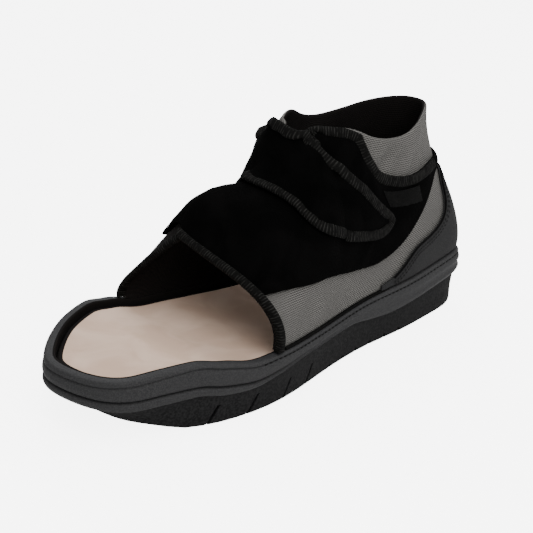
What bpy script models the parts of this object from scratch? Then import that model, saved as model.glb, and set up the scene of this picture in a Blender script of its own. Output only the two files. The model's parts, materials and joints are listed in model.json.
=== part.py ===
# Post operative shoe for the left foot: rocker sole, open toe, two closing flaps.
# Metres, +Z up. The toe points to -Y and the outer side of the foot to +X.
# The origin lies on the ground, under the middle of the heel.

import math
from collections import namedtuple

import bmesh
import bpy
import numpy as np
from mathutils import Vector
from mathutils.geometry import delaunay_2d_cdt

# Driving dimensions
LENGTH = 0.300  # sole, from the back of the heel to the toe
BALL_WIDTH = 0.112  # sole, at its widest
HEEL_BACK = 0.045  # from the origin to the back of the sole
OUTSOLE_HEIGHT = 0.020
MIDSOLE_HEIGHT = 0.0145
TOE_SPRING = 0.0172
HEEL_BEVEL = 0.0029
SHAFT_HEIGHT = 0.098  # from the midsole's rim at the waist to the collar
TOP_WIDTH = 0.060  # collar, inside to outside of the ankle
FOOTBED = 0.005  # insole thickness
FOOTBED_DROP = 0.0035  # insole below the rim
WALL = 0.0025  # spacer mesh of the upper
PANEL = 0.0018  # velour panels and straps
COUNTER = 0.0015
BINDING_WIDTH = 0.0048
BINDING_RISE = 0.0006  # a bound edge stands proud of its panel
EDGE_ROUND = 0.45  # of a panel's thickness, at its outermost edge
RIM_WIDTH = 0.0042  # midsole that shows outside the upper
LABEL = 0.0005
FIT = 0.0003  # between pieces that meet
LAYER_GAP = 0.0009  # between curved layers, at their sections
CROWN_GAP = 0.0013  # added where the collar turns tightly into the throat
RIDGE_GAP = 0.0007  # added along the instep's ridge

RIB_DEPTH = 0.0020  # groove between the toe ribs
RIB_EDGE = 0.0010  # from a rib or crease to the wall above and below it
SHALLOW = 0.0006  # grooves stay this deep where the ribs run out
CREASE_DEPTH = 0.0016
LIP = 0.0026  # the midsole's lower edge stands out from the outsole
ROUND_OFF = 0.0012  # of the tread's and the insole's edges
INSOLE_CUP = 0.0010  # hollow of the footbed
INSOLE_CUP_WIDTH = 0.0120
SLOT_DEPTH = 0.0030
SLOT_WIDTH = 0.0020
GROOVE_DEPTH = 0.0032
GROOVE_WIDTH = 0.0021
GROOVE_PITCH = 0.0135
SLOTS = [0.535, 0.605, 0.695, 0.780]  # side slots at the ground, shares of LENGTH
SLOT_TOP = 0.62  # height of a slot, share of OUTSOLE_HEIGHT
SLOT_SLANT = 0.5  # along over up
GROOVES_FROM = 0.25  # tread grooves, shares of LENGTH
GROOVES_TO = 0.53

# Resolution
SIDE_STEPS = 38  # sole sections along one side
COLUMN_SHARES = [0.0, 0.42, 0.76, 1.0]  # of the upper's sections along one side,
COLUMN_PLACES = [0.0, 0.56, 0.80, 1.0]  # up to these places: closer at the throat
COLUMNS = 27
ROWS = 12
EDGE_STEP = 0.0075  # between points on a panel's outline
FIELD_STEP = 0.0085  # between points inside a panel
LABEL_STEP = 0.006
NARROW_SHARE = 0.30  # of a narrow panel's width, for the binding of each edge
BEAD_STEPS = 26
BEAD_SIDES = 8
CHART_SCALE = (0.200, 0.110)  # rough length of a unit of each chart coordinate

# Plan of the sole: across is positive to the outer side, a share of BALL_WIDTH,
# along a share of LENGTH from the heel.
Plan = namedtuple("Plan", "along outer inner")
PLAN = [
    Plan(0.000, 0.003, 0.003),
    Plan(0.006, 0.140, -0.130),
    Plan(0.025, 0.270, -0.240),
    Plan(0.065, 0.330, -0.315),
    Plan(0.133, 0.353, -0.350),
    Plan(0.233, 0.379, -0.350),
    Plan(0.367, 0.396, -0.341),
    Plan(0.500, 0.450, -0.371),
    Plan(0.633, 0.511, -0.439),
    Plan(0.747, 0.490, -0.489),
    Plan(0.840, 0.422, -0.452),
    Plan(0.920, 0.340, -0.358),
    Plan(0.972, 0.225, -0.237),
    Plan(1.000, -0.060, -0.060),
]

# Side of the sole: ground is a share of TOE_SPRING ahead of the waist and of
# HEEL_BEVEL behind it, edge of OUTSOLE_HEIGHT, rim of MIDSOLE_HEIGHT above the
# edge, groove and crease of the way from edge to rim, ribs of RIB_DEPTH, and
# tuck, how far the ground edge lies inside the outline, of BALL_WIDTH.
Side = namedtuple("Side", "along ground edge groove crease rim ribs tuck")
SIDE = [
    Side(0.000, 1.00, 1.170, 0.40, 0.84, 0.979, 0.05, 0.050),
    Side(0.100, 0.00, 1.020, 0.40, 0.84, 1.055, 0.05, 0.018),
    Side(0.200, 0.00, 0.910, 0.40, 0.84, 1.076, 0.05, 0.021),
    Side(0.280, 0.00, 0.860, 0.40, 0.84, 1.110, 0.05, 0.028),
    Side(0.350, 0.00, 0.960, 0.40, 0.84, 0.945, 0.05, 0.036),
    Side(0.420, 0.00, 1.130, 0.40, 0.80, 0.662, 0.05, 0.039),
    Side(0.500, 0.00, 1.145, 0.30, 0.78, 0.607, 0.10, 0.042),
    Side(0.580, 0.00, 1.160, 0.26, 0.78, 0.634, 0.25, 0.045),
    Side(0.650, 0.00, 1.040, 0.24, 0.82, 0.834, 0.75, 0.048),
    Side(0.717, 0.00, 0.890, 0.29, 0.84, 1.090, 1.00, 0.050),
    Side(0.770, 0.00, 0.940, 0.30, 0.85, 1.297, 1.00, 0.052),
    Side(0.825, 0.05, 1.085, 0.31, 0.86, 1.331, 1.00, 0.056),
    Side(0.880, 0.30, 1.050, 0.33, 0.83, 1.317, 1.00, 0.074),
    Side(0.940, 0.63, 0.975, 0.34, 0.81, 1.248, 1.00, 0.096),
    Side(1.000, 1.00, 0.980, 0.35, 0.80, 1.103, 1.00, 0.114),
]

# Sections of the last, from the heel seam (0) to the front edge (1). Each runs
# from its foot on the rim, outer_foot or inner_foot along LENGTH, to its top,
# half of it to each side of middle. Widths are shares of TOP_WIDTH, top_along
# and the leads of LENGTH, heights of SHAFT_HEIGHT. Reach, lead and drop lead
# into the top, rise and lean out of the foot.
Cut = namedtuple(
    "Cut",
    "place outer_foot inner_foot middle half top_along top_up "
    "outer_reach inner_reach outer_lead inner_lead drop outer_rise inner_rise lean",
)
LAST = [
    Cut(0.00, 0.000, 0.000, 0.000, 0.00, 0.083, 0.975, 0.02, 0.020, 0.000, 0.00, 0.39, 0.38, 0.38, 0.010),
    Cut(0.09, 0.013, 0.013, 0.000, 0.16, 0.096, 0.975, 0.02, 0.020, 0.000, 0.00, 0.39, 0.38, 0.38, 0.010),
    Cut(0.18, 0.048, 0.048, 0.000, 0.31, 0.136, 0.963, 0.02, 0.020, 0.000, 0.00, 0.38, 0.38, 0.38, 0.010),
    Cut(0.30, 0.125, 0.125, 0.010, 0.44, 0.191, 0.933, 0.04, 0.030, 0.000, 0.00, 0.34, 0.36, 0.36, 0.012),
    Cut(0.43, 0.240, 0.250, 0.020, 0.51, 0.262, 0.910, 0.04, 0.040, 0.000, 0.00, 0.30, 0.34, 0.34, 0.020),
    Cut(0.55, 0.345, 0.365, -0.010, 0.48, 0.337, 0.950, 0.08, 0.070, 0.000, 0.00, 0.30, 0.34, 0.34, 0.030),
    Cut(0.63, 0.410, 0.435, -0.060, 0.36, 0.385, 1.010, 0.26, 0.120, 0.000, 0.00, 0.18, 0.38, 0.38, 0.040),
    Cut(0.68, 0.446, 0.480, -0.110, 0.20, 0.424, 1.010, 0.46, 0.110, 0.000, 0.00, 0.05, 0.42, 0.38, 0.045),
    Cut(0.72, 0.472, 0.515, -0.145, 0.00, 0.444, 1.010, 0.60, 0.065, 0.000, 0.00, 0.00, 0.45, 0.34, 0.050),
    Cut(0.79, 0.515, 0.570, -0.105, 0.00, 0.474, 0.826, 0.70, 0.060, 0.000, 0.00, 0.00, 0.52, 0.39, 0.060),
    Cut(0.86, 0.560, 0.620, -0.145, 0.00, 0.526, 0.690, 0.80, 0.120, 0.010, 0.00, 0.00, 0.56, 0.38, 0.060),
    Cut(0.93, 0.601, 0.675, -0.240, 0.00, 0.606, 0.655, 0.80, 0.170, 0.020, 0.00, 0.00, 0.56, 0.38, 0.050),
    Cut(1.00, 0.644, 0.727, -0.285, 0.00, 0.670, 0.480, 0.66, 0.100, 0.028, -0.01, 0.00, 0.72, 0.22, 0.115),
]

# Where the upper's wall ends, as a share of the way from foot to top.
Throat = namedtuple("Throat", "place outer inner")
THROAT = [
    Throat(0.00, 1.000, 1.000),
    Throat(0.64, 1.000, 1.000),
    Throat(0.68, 0.960, 0.980),
    Throat(0.73, 0.800, 0.880),
    Throat(0.77, 0.820, 0.880),
    Throat(0.83, 0.975, 0.975),
    Throat(1.00, 0.975, 0.975),
]

# Outlines on the last, by place and either over, which runs from -1 at the outer
# foot through 0 on the instep to 1 at the inner foot, or way. A sharp spot is a
# corner, the others lie on a smooth curve.
Spot = namedtuple("Spot", "place over sharp", defaults=(False,))
OUTER_PANEL = [
    Spot(0.015, -0.300, True),
    Spot(0.120, -0.292),
    Spot(0.244, -0.277),
    Spot(0.308, -0.273),
    Spot(0.375, -0.268),
    Spot(0.438, -0.250),
    Spot(0.489, -0.222),
    Spot(0.540, -0.188),
    Spot(0.575, -0.115),
    Spot(0.588, -0.012, True),
    Spot(0.630, -0.010),
    Spot(0.672, -0.040),
    Spot(0.700, -0.110),
    Spot(0.725, -0.200),
    Spot(0.765, -0.290),
    Spot(0.800, -0.300),
    Spot(0.825, -0.200),
    Spot(0.840, -0.100),
    Spot(0.848, 0.000),
    Spot(0.858, 0.100),
    Spot(0.880, 0.250),
    Spot(0.893, 0.400),
    Spot(0.900, 0.510),
    Spot(0.922, 0.560),
    Spot(0.946, 0.530),
    Spot(0.962, 0.420),
    Spot(0.976, 0.260),
    Spot(0.990, 0.120),
    Spot(1.000, 0.000),
    Spot(1.000, -0.150),
    Spot(1.000, -0.400),
    Spot(1.000, -0.600, True),
    Spot(0.967, -0.650),
    Spot(0.908, -0.695),
    Spot(0.837, -0.725),
    Spot(0.787, -0.762),
    Spot(0.753, -0.788),
    Spot(0.715, -0.802),
    Spot(0.626, -0.794),
    Spot(0.540, -0.777),
    Spot(0.456, -0.711),
    Spot(0.393, -0.611),
    Spot(0.330, -0.510),
    Spot(0.276, -0.431),
    Spot(0.215, -0.378),
    Spot(0.130, -0.368),
    Spot(0.015, -0.372, True),
]
ANKLE_STRAP = [
    Spot(0.730, -0.030),
    Spot(0.728, -0.140),
    Spot(0.707, -0.215),
    Spot(0.681, -0.315),
    Spot(0.640, -0.366),
    Spot(0.575, -0.397),
    Spot(0.518, -0.440),
    Spot(0.498, -0.500),
    Spot(0.525, -0.572),
    Spot(0.590, -0.627),
    Spot(0.665, -0.655),
    Spot(0.722, -0.655),
    Spot(0.758, -0.617),
    Spot(0.787, -0.566),
    Spot(0.821, -0.478),
    Spot(0.844, -0.371),
    Spot(0.854, -0.275),
    Spot(0.865, -0.180),
    Spot(0.876, -0.090),
    Spot(0.879, 0.000),
    Spot(0.869, 0.080),
    Spot(0.852, 0.150),
    Spot(0.836, 0.215),
    Spot(0.820, 0.290),
    Spot(0.804, 0.390),
    Spot(0.788, 0.520),
    Spot(0.768, 0.650),
    Spot(0.710, 0.735),
    Spot(0.600, 0.765),
    Spot(0.480, 0.735),
    Spot(0.393, 0.620),
    Spot(0.330, 0.510),
    Spot(0.276, 0.431),
    Spot(0.215, 0.378),
    Spot(0.130, 0.368),
    Spot(0.015, 0.372, True),
    Spot(0.015, 0.300, True),
    Spot(0.120, 0.292),
    Spot(0.244, 0.280),
    Spot(0.340, 0.275),
    Spot(0.460, 0.260),
    Spot(0.580, 0.275),
    Spot(0.670, 0.240),
    Spot(0.715, 0.140),
    Spot(0.724, 0.060),
]
# The counter's top line, by way over place, the same on both sides, and the label.
COUNTER_LINE = [
    Spot(0.000, 0.590),
    Spot(0.100, 0.590),
    Spot(0.160, 0.565),
    Spot(0.191, 0.485),
    Spot(0.217, 0.385),
    Spot(0.245, 0.322),
    Spot(0.290, 0.268),
    Spot(0.345, 0.236),
    Spot(0.390, 0.214),
    Spot(0.425, 0.160),
    Spot(0.458, 0.100),
    Spot(0.485, 0.066),
    Spot(0.520, 0.050),
]
COUNTER_FOOT = 0.014
WELT_END = (0.958, 0.975)  # places between which a panel's welt gives way to a bead
LABEL_CORNERS = [
    Spot(0.530, -0.314, True),
    Spot(0.372, -0.352, True),
    Spot(0.366, -0.470, True),
    Spot(0.500, -0.425, True),
]

# Colour and roughness of each finish
COLOURS = {
    "rubber": ((0.014, 0.014, 0.014), 0.75),
    "midsole": ((0.048, 0.048, 0.048), 0.60),
    "footbed": ((0.52, 0.43, 0.38), 0.80),
    "mesh": ((0.115, 0.112, 0.104), 0.90),
    "counter": ((0.024, 0.024, 0.025), 0.65),
    "velour": ((0.002, 0.002, 0.002), 0.95),
    "binding": ((0.008, 0.008, 0.007), 0.80),
}


def table_column(rows, name):
    return np.array([getattr(row, name) for row in rows], float)


def level_curve(keys, values, at):
    # A smooth curve through the rows of a table that never overshoots them.
    at = np.clip(at, keys[0], keys[-1])
    gaps = np.diff(keys)
    slopes = np.diff(values) / gaps
    ends = np.zeros(len(keys))
    turning = slopes[:-1] * slopes[1:] <= 0
    before = 2 * gaps[1:] + gaps[:-1]
    after = gaps[1:] + 2 * gaps[:-1]
    safe = np.where(turning, 1.0, slopes[:-1]), np.where(turning, 1.0, slopes[1:])
    ends[1:-1] = np.where(turning, 0, (before + after) / (before / safe[0] + after / safe[1]))
    ends[0] = slopes[0]
    ends[-1] = slopes[-1]
    k = np.clip(np.searchsorted(keys, at, side="right") - 1, 0, len(gaps) - 1)
    t = (at - keys[k]) / gaps[k]
    return (
        (1 + 2 * t) * (1 - t) ** 2 * values[k]
        + t * (1 - t) ** 2 * gaps[k] * ends[k]
        + t**2 * (3 - 2 * t) * values[k + 1]
        + t**2 * (t - 1) * gaps[k] * ends[k + 1]
    )


def fair_curve(keys, values, at):
    # The natural cubic spline through the rows of a table.
    n = len(keys)
    gaps = np.diff(keys)
    slopes = np.diff(values) / gaps
    matrix = np.eye(n)
    bends = np.zeros(n)
    for k in range(1, n - 1):
        matrix[k, k - 1 : k + 2] = gaps[k - 1], 2 * (gaps[k - 1] + gaps[k]), gaps[k]
        bends[k] = 6 * (slopes[k] - slopes[k - 1])
    bends = np.linalg.solve(matrix, bends)
    k = np.clip(np.searchsorted(keys, at, side="right") - 1, 0, n - 2)
    a = at - keys[k]
    b = keys[k + 1] - at
    return (
        (bends[k] * b**3 + bends[k + 1] * a**3) / (6 * gaps[k])
        + (values[k] / gaps[k] - bends[k] * gaps[k] / 6) * b
        + (values[k + 1] / gaps[k] - bends[k + 1] * gaps[k] / 6) * a
    )


def ease(low, high, at):
    t = np.clip((at - low) / (high - low), 0, 1)
    return t * t * (3 - 2 * t)


# Plan of the sole, by an angle that runs from the heel (0) along the outer side
# to the toe (pi) and back along the inner side.
def plan_angle(along):
    return np.arccos(np.clip(1 - 2 * np.asarray(along), -1, 1))


def plan_table():
    angles = plan_angle(table_column(PLAN, "along"))
    outer = table_column(PLAN, "outer")
    inner = table_column(PLAN, "inner")
    turn = 2 * math.pi
    keys = np.concatenate([angles[-4:-1] - turn, -angles[:0:-1], angles, turn - angles[-2:-5:-1]])
    values = np.concatenate([outer[-4:-1], inner[:0:-1], outer, inner[-2:-5:-1]])
    return keys, values * BALL_WIDTH


PLAN_KEYS, PLAN_VALUES = plan_table()


def outline(angle):
    across = fair_curve(PLAN_KEYS, PLAN_VALUES, angle)
    return np.stack([across, HEEL_BACK - (1 - np.cos(angle)) / 2 * LENGTH], -1)


def outline_normal(angle):
    step = 1e-3
    run = outline(angle + step) - outline(angle - step)
    run /= np.linalg.norm(run, axis=-1, keepdims=True)
    return np.stack([-run[..., 1], run[..., 0]], -1)


def inset_outline(angle, inset):
    angle = (angle + math.pi) % (2 * math.pi) - math.pi
    return outline(angle) - outline_normal(angle) * np.asarray(inset)[..., None]


def side_at(y, name):
    along = (HEEL_BACK - y) / LENGTH
    return level_curve(table_column(SIDE, "along"), table_column(SIDE, name), along)


def ground_height(y):
    waist = HEEL_BACK - LENGTH / 2
    return side_at(y, "ground") * np.where(y < waist, TOE_SPRING, HEEL_BEVEL)


def edge_height(y):
    return OUTSOLE_HEIGHT * side_at(y, "edge")


def rim_height(y):
    return edge_height(y) + MIDSOLE_HEIGHT * side_at(y, "rim")


def footbed_height(y):
    return rim_height(y) - FOOTBED_DROP


def floor_height(y):
    return footbed_height(y) - FOOTBED - FIT


# The last: side is 1 on the outer side and -1 on the inner side, place runs
# from the heel seam to the front edge, way from the foot to the top.
def last_column(name, side, place):
    values = table_column(LAST, name)
    keys = table_column(LAST, "place")
    return fair_curve(
        np.concatenate([-keys[:0:-1], keys]), np.concatenate([values[:0:-1], values]), side * place
    )


def foot_angle(side, place):
    keys = table_column(LAST, "place")
    outer = plan_angle(table_column(LAST, "outer_foot"))
    inner = plan_angle(table_column(LAST, "inner_foot"))
    signed = np.concatenate([-keys[:0:-1], keys])
    return fair_curve(signed, np.concatenate([-inner[:0:-1], outer]), side * place)


def last_top(side, place):
    keys = table_column(LAST, "place")
    half = table_column(LAST, "half")
    spread = level_curve(
        np.concatenate([-keys[:0:-1], keys]), np.concatenate([-half[:0:-1], half]), side * place
    )
    x = (last_column("middle", side, place) + spread) * TOP_WIDTH
    y = HEEL_BACK - last_column("top_along", side, place) * LENGTH
    waist_rim = OUTSOLE_HEIGHT + MIDSOLE_HEIGHT
    z = waist_rim + last_column("top_up", side, place) * SHAFT_HEIGHT
    return np.stack([x, y, z], -1)


def last_point(side, place, way):
    side, place, way = np.broadcast_arrays(*(np.asarray(v, float) for v in (side, place, way)))
    angle = foot_angle(side, place)
    plan = inset_outline(angle, np.full(angle.shape, RIM_WIDTH))
    foot = np.concatenate([plan, (rim_height(plan[..., 1]) + FIT)[..., None]], -1)
    top = last_top(side, place)
    step = 1e-3
    run = last_top(side, place + step) - last_top(side, place - step)
    run /= np.linalg.norm(run, axis=-1, keepdims=True)
    away = outline_normal(angle)
    vamp = ease(0.55, 0.71, place)
    level = np.stack([away[..., 0], away[..., 1] * (1 - vamp), 0 * vamp], -1)
    level /= np.linalg.norm(level, axis=-1, keepdims=True)
    outer = side > 0
    reach, lead, rise = (
        np.where(outer, last_column("outer" + word, side, place), last_column("inner" + word, side, place))
        for word in ("_reach", "_lead", "_rise")
    )
    flat = np.concatenate([away, 0 * away[..., :1]], -1)
    up = np.array([0.0, 0.0, 1.0])
    lean = (last_column("lean", side, place) * TOP_WIDTH)[..., None]
    rise = (rise * (top[..., 2] - foot[..., 2]))[..., None]
    drop = (last_column("drop", side, place) * SHAFT_HEIGHT)[..., None]
    low = foot + flat * lean + up * rise
    high = top + level * (reach * TOP_WIDTH)[..., None] + run * (lead * LENGTH)[..., None] - up * drop
    t = way[..., None]
    return foot * (1 - t) ** 3 + 3 * low * t * (1 - t) ** 2 + 3 * high * t**2 * (1 - t) + top * t**3


def last_normal(side, place, way):
    step = 2e-3
    ahead = last_point(side, place + step, way) - last_point(side, place - step, way)
    way = np.asarray(way, float)
    above = last_point(side, place, np.minimum(way + step, 1)) - last_point(side, place, way - step)
    normal = np.cross(ahead, above) * -np.broadcast_to(np.asarray(side, float), ahead.shape[:-1])[..., None]
    return normal / np.linalg.norm(normal, axis=-1, keepdims=True)


def offset_last(side, place, way, lift):
    lift = np.asarray(lift, float)
    return last_point(side, place, way) + last_normal(side, place, way) * lift[..., None]


# Two charts of the last. over runs from -1 at the outer foot through 0 on the
# instep to 1 at the inner foot. turn runs from -1 at the inner front edge through
# 0 at the heel seam to 1 at the outer front edge.
def across_instep(place, over):
    return np.where(over <= 0, 1.0, -1.0), place, 1 - np.abs(over)


def round_heel(turn, way):
    return np.where(turn >= 0, 1.0, -1.0), np.abs(turn), way


def material(name):
    colour, roughness = COLOURS[name]
    made = bpy.data.materials.get(name)
    if made is None:
        made = bpy.data.materials.new(name)
        made.use_nodes = True
        shader = made.node_tree.nodes["Principled BSDF"]
        shader.inputs["Base Color"].default_value = (*colour, 1.0)
        shader.inputs["Roughness"].default_value = roughness
        shader.inputs["Metallic"].default_value = 0.0
    return made


def add_object(name, points, faces, finish, crease=40):
    mesh = bpy.data.meshes.new(name)
    mesh.from_pydata([tuple(map(float, p)) for p in points], [], faces)
    form = bmesh.new()
    form.from_mesh(mesh)
    bmesh.ops.recalc_face_normals(form, faces=form.faces)
    bmesh.ops.triangulate(form, faces=form.faces, quad_method="SHORT_EDGE")
    form.to_mesh(mesh)
    form.free()
    mesh.shade_smooth()
    mesh.set_sharp_from_angle(angle=math.radians(crease))
    made = bpy.data.objects.new(name, mesh)
    mesh.materials.append(material(finish))
    bpy.context.scene.collection.objects.link(made)
    return made


# Sole pieces are rings of the outline, stacked and closed across at both ends.
def ring(inset, height):
    angles = np.arange(2 * SIDE_STEPS) * math.pi / SIDE_STEPS
    y = outline(angles)[:, 1]
    plan = inset_outline(angles, inset(y) if callable(inset) else np.full(len(angles), inset))
    return np.column_stack([plan, height(plan[:, 1])])


def between(low, high, share):
    return lambda y: low(y) + (high(y) - low(y)) * share


def closed_stack(rings):
    count = len(rings[0])
    faces = []
    for level in range(len(rings) - 1):
        low = level * count
        for k in range(count):
            after = (k + 1) % count
            faces.append((low + k, low + after, low + count + after, low + count + k))
    for base in (0, (len(rings) - 1) * count):
        for k in range(count // 2):
            corners = [base + k, base + k + 1, base + (count - k - 1) % count, base + (count - k) % count]
            faces.append(tuple(dict.fromkeys(corners)))
    return np.concatenate(rings), faces


def bar(name, corners):
    # A cutter of six faces: corners run by height, then depth, then width.
    faces = [(0, 1, 3, 2), (4, 6, 7, 5), (0, 4, 5, 1), (2, 3, 7, 6), (0, 2, 6, 4), (1, 5, 7, 3)]
    return add_object(name, corners, faces, "rubber")


def slot_cutter(name, y, side):
    # A thin bar that stands in the side of the outsole, its head leaning to the heel.
    angle = np.array([plan_angle((HEEL_BACK - y) / LENGTH) * side])
    edge = outline(angle)[0]
    away = outline_normal(angle)[0]
    along = np.array([-away[1], away[0]]) * side
    height = OUTSOLE_HEIGHT * SLOT_TOP
    corners = []
    for z in (-GROOVE_DEPTH, height):
        shift = along * (z - height) * SLOT_SLANT
        for depth in (-SLOT_DEPTH, tuck(y) + SLOT_DEPTH):
            for half in (-SLOT_WIDTH / 2, SLOT_WIDTH / 2):
                corners.append((*(edge - away * depth + shift + along * half), z))
    return bar(name, corners)


def groove_cutter(name, y):
    # A bar across the tread.
    heights = (-GROOVE_DEPTH, GROOVE_DEPTH)
    sides = (-BALL_WIDTH, BALL_WIDTH)
    widths = (y - GROOVE_WIDTH / 2, y + GROOVE_WIDTH / 2)
    return bar(name, [(x, at, z) for z in heights for x in sides for at in widths])


def tuck(y):
    return side_at(y, "tuck") * BALL_WIDTH


def outsole():
    points, faces = closed_stack(
        [
            ring(lambda y: tuck(y) + ROUND_OFF, ground_height),
            ring(tuck, lambda y: ground_height(y) + ROUND_OFF),
            ring(lambda y: (2 * tuck(y) + 3 * LIP) / 4, between(ground_height, edge_height, 0.5)),
            ring(LIP + FIT, lambda y: edge_height(y) - FIT),
        ]
    )
    sole = add_object("outsole", points, faces, "rubber")
    cutters = bpy.data.collections.new("outsole_cutters")
    bpy.context.scene.collection.children.link(cutters)
    bars = []
    for k, along in enumerate(SLOTS):
        bars.append(slot_cutter(f"outer_slot_{k}", HEEL_BACK - along * LENGTH, 1))
        bars.append(slot_cutter(f"inner_slot_{k}", HEEL_BACK - along * LENGTH, -1))
    count = int((GROOVES_TO - GROOVES_FROM) * LENGTH / GROOVE_PITCH)
    for k in range(count):
        bars.append(groove_cutter(f"groove_{k}", HEEL_BACK - GROOVES_FROM * LENGTH - k * GROOVE_PITCH))
    for cutter in bars:
        bpy.context.scene.collection.objects.unlink(cutter)
        cutters.objects.link(cutter)
        cutter.hide_render = True
        cutter.display_type = "WIRE"
    cut = sole.modifiers.new("tread", "BOOLEAN")
    cut.operation = "DIFFERENCE"
    cut.solver = "EXACT"
    cut.operand_type = "COLLECTION"
    cut.collection = cutters


def groove_height(y):
    return edge_height(y) + (rim_height(y) - edge_height(y)) * side_at(y, "groove")


def crease_height(y):
    return edge_height(y) + (rim_height(y) - edge_height(y)) * side_at(y, "crease")


def midsole():
    points, faces = closed_stack(
        [
            ring(LIP, edge_height),
            ring(LIP / 3, lambda y: edge_height(y) + RIB_EDGE),
            ring(0.0, between(edge_height, groove_height, 0.55)),
            ring(SHALLOW, lambda y: groove_height(y) - RIB_EDGE),
            ring(lambda y: SHALLOW + RIB_DEPTH * side_at(y, "ribs"), groove_height),
            ring(SHALLOW, lambda y: groove_height(y) + RIB_EDGE),
            ring(0.0, between(groove_height, crease_height, 0.5)),
            ring(SHALLOW, lambda y: crease_height(y) - RIB_EDGE),
            ring(CREASE_DEPTH, crease_height),
            ring(CREASE_DEPTH / 2, lambda y: crease_height(y) + RIB_EDGE),
            ring(RIM_WIDTH / 4, lambda y: rim_height(y) - RIB_EDGE),
            ring(RIM_WIDTH / 2, rim_height),
            ring(RIM_WIDTH + WALL + FIT, rim_height),
            ring(RIM_WIDTH + WALL + 2 * FIT, floor_height),
        ]
    )
    add_object("midsole", points, faces, "midsole")


def insole():
    edge = RIM_WIDTH + WALL + 4 * FIT
    points, faces = closed_stack(
        [
            ring(edge + ROUND_OFF, lambda y: floor_height(y) + FIT),
            ring(edge, lambda y: floor_height(y) + FIT + ROUND_OFF),
            ring(edge, lambda y: footbed_height(y) - ROUND_OFF),
            ring(edge + ROUND_OFF, footbed_height),
            ring(edge + INSOLE_CUP_WIDTH, lambda y: footbed_height(y) - INSOLE_CUP),
        ]
    )
    add_object("insole", points, faces, "footbed")


def upper():
    places = np.interp(np.linspace(0, 1, COLUMNS + 1), COLUMN_SHARES, COLUMN_PLACES)
    turns = np.concatenate([places[:0:-1], -places])
    ways = np.linspace(0, 1, ROWS + 1)
    side, place, _ = round_heel(turns, ways[0])
    keys = table_column(THROAT, "place")
    ends = np.where(
        side > 0,
        level_curve(keys, table_column(THROAT, "outer"), place),
        level_curve(keys, table_column(THROAT, "inner"), place),
    )
    way = ends[:, None] * ways[None, :]
    side, place = side[:, None], place[:, None]
    outer = last_point(side, place, way)
    inner = outer - last_normal(side, place, np.maximum(way, 0.01)) * WALL
    foot = inset_outline(foot_angle(side[:, 0], place[:, 0]), np.full(len(turns), RIM_WIDTH + WALL))
    inner[:, 0] = np.column_stack([foot, rim_height(foot[:, 1]) + FIT])
    rows = len(ways)
    points = np.concatenate([outer.reshape(-1, 3), inner.reshape(-1, 3)])
    back = outer.shape[0] * rows
    faces = []
    for c in range(len(turns) - 1):
        for r in range(rows - 1):
            a, b = c * rows + r, (c + 1) * rows + r
            faces.append((a, b, b + 1, a + 1))
            faces.append((back + a, back + a + 1, back + b + 1, back + b))
        for r in (0, rows - 1):
            a, b = c * rows + r, (c + 1) * rows + r
            faces.append((a, b, back + b, back + a))
    for c in (0, len(turns) - 1):
        for r in range(rows - 1):
            a = c * rows + r
            faces.append((a, a + 1, back + a + 1, back + a))
    add_object("upper", points, faces, "mesh")


# Outlines of the panels, in a chart of the last.
def smooth_outline(spots):
    # Fair curves through the spots, broken at the sharp ones, densely sampled.
    points = np.array([(s.place, s.over) for s in spots])
    corners = [k for k, s in enumerate(spots) if s.sharp]
    count = len(spots)
    runs = []
    if corners:
        for a, b in zip(corners, corners[1:] + [corners[0] + count]):
            runs.append([k % count for k in range(a, b + 1)])
    else:
        runs.append([k % count for k in range(-3, count + 4)])
    pieces = []
    for run in runs:
        through = points[run]
        reach = np.linalg.norm(np.diff(through, axis=0) * CHART_SCALE, axis=1)
        keys = np.concatenate([[0], np.cumsum(np.sqrt(reach))])
        first, last = (0, len(run) - 1) if corners else (3, len(run) - 4)
        at = np.linspace(keys[first], keys[last], 40 * (last - first) + 1)[:-1]
        curve = np.column_stack([fair_curve(keys, through[:, k], at) for k in (0, 1)])
        starts = np.zeros(len(at), bool)
        starts[0] = bool(corners)
        pieces.append((curve, starts))
    return np.concatenate([p[0] for p in pieces]), np.concatenate([p[1] for p in pieces])


def even_outline(chart, spots, step):
    curve, starts = smooth_outline(spots)
    solid = last_point(*chart(curve[:, 0], curve[:, 1]))
    breaks = list(np.flatnonzero(starts)) or [0]
    picked = []
    for a, b in zip(breaks, breaks[1:] + [breaks[0] + len(curve)]):
        run = [k % len(curve) for k in range(a, b + 1)]
        length = np.concatenate([[0], np.cumsum(np.linalg.norm(np.diff(solid[run], axis=0), axis=1))])
        count = max(1, round(length[-1] / step))
        at = np.arange(count) * length[-1] / count
        picked.append(np.column_stack([np.interp(at, length, curve[run][:, k]) for k in (0, 1)]))
    return np.concatenate(picked)


def room_inside(here, distance):
    # How far each point of an outline may move in where its panel is narrow.
    length = np.concatenate([[0], np.cumsum(np.linalg.norm(np.diff(here, axis=0), axis=1))])
    total = length[-1] + np.linalg.norm(here[0] - here[-1])
    apart = np.abs(length[:, None] - length[None])
    apart = np.minimum(apart, total - apart)
    gap = np.linalg.norm(here[:, None] - here[None], axis=2)
    gap = np.where(apart > 2.2 * distance, gap, np.inf).min(1)
    return np.minimum(distance, NARROW_SHARE * gap)


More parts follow.
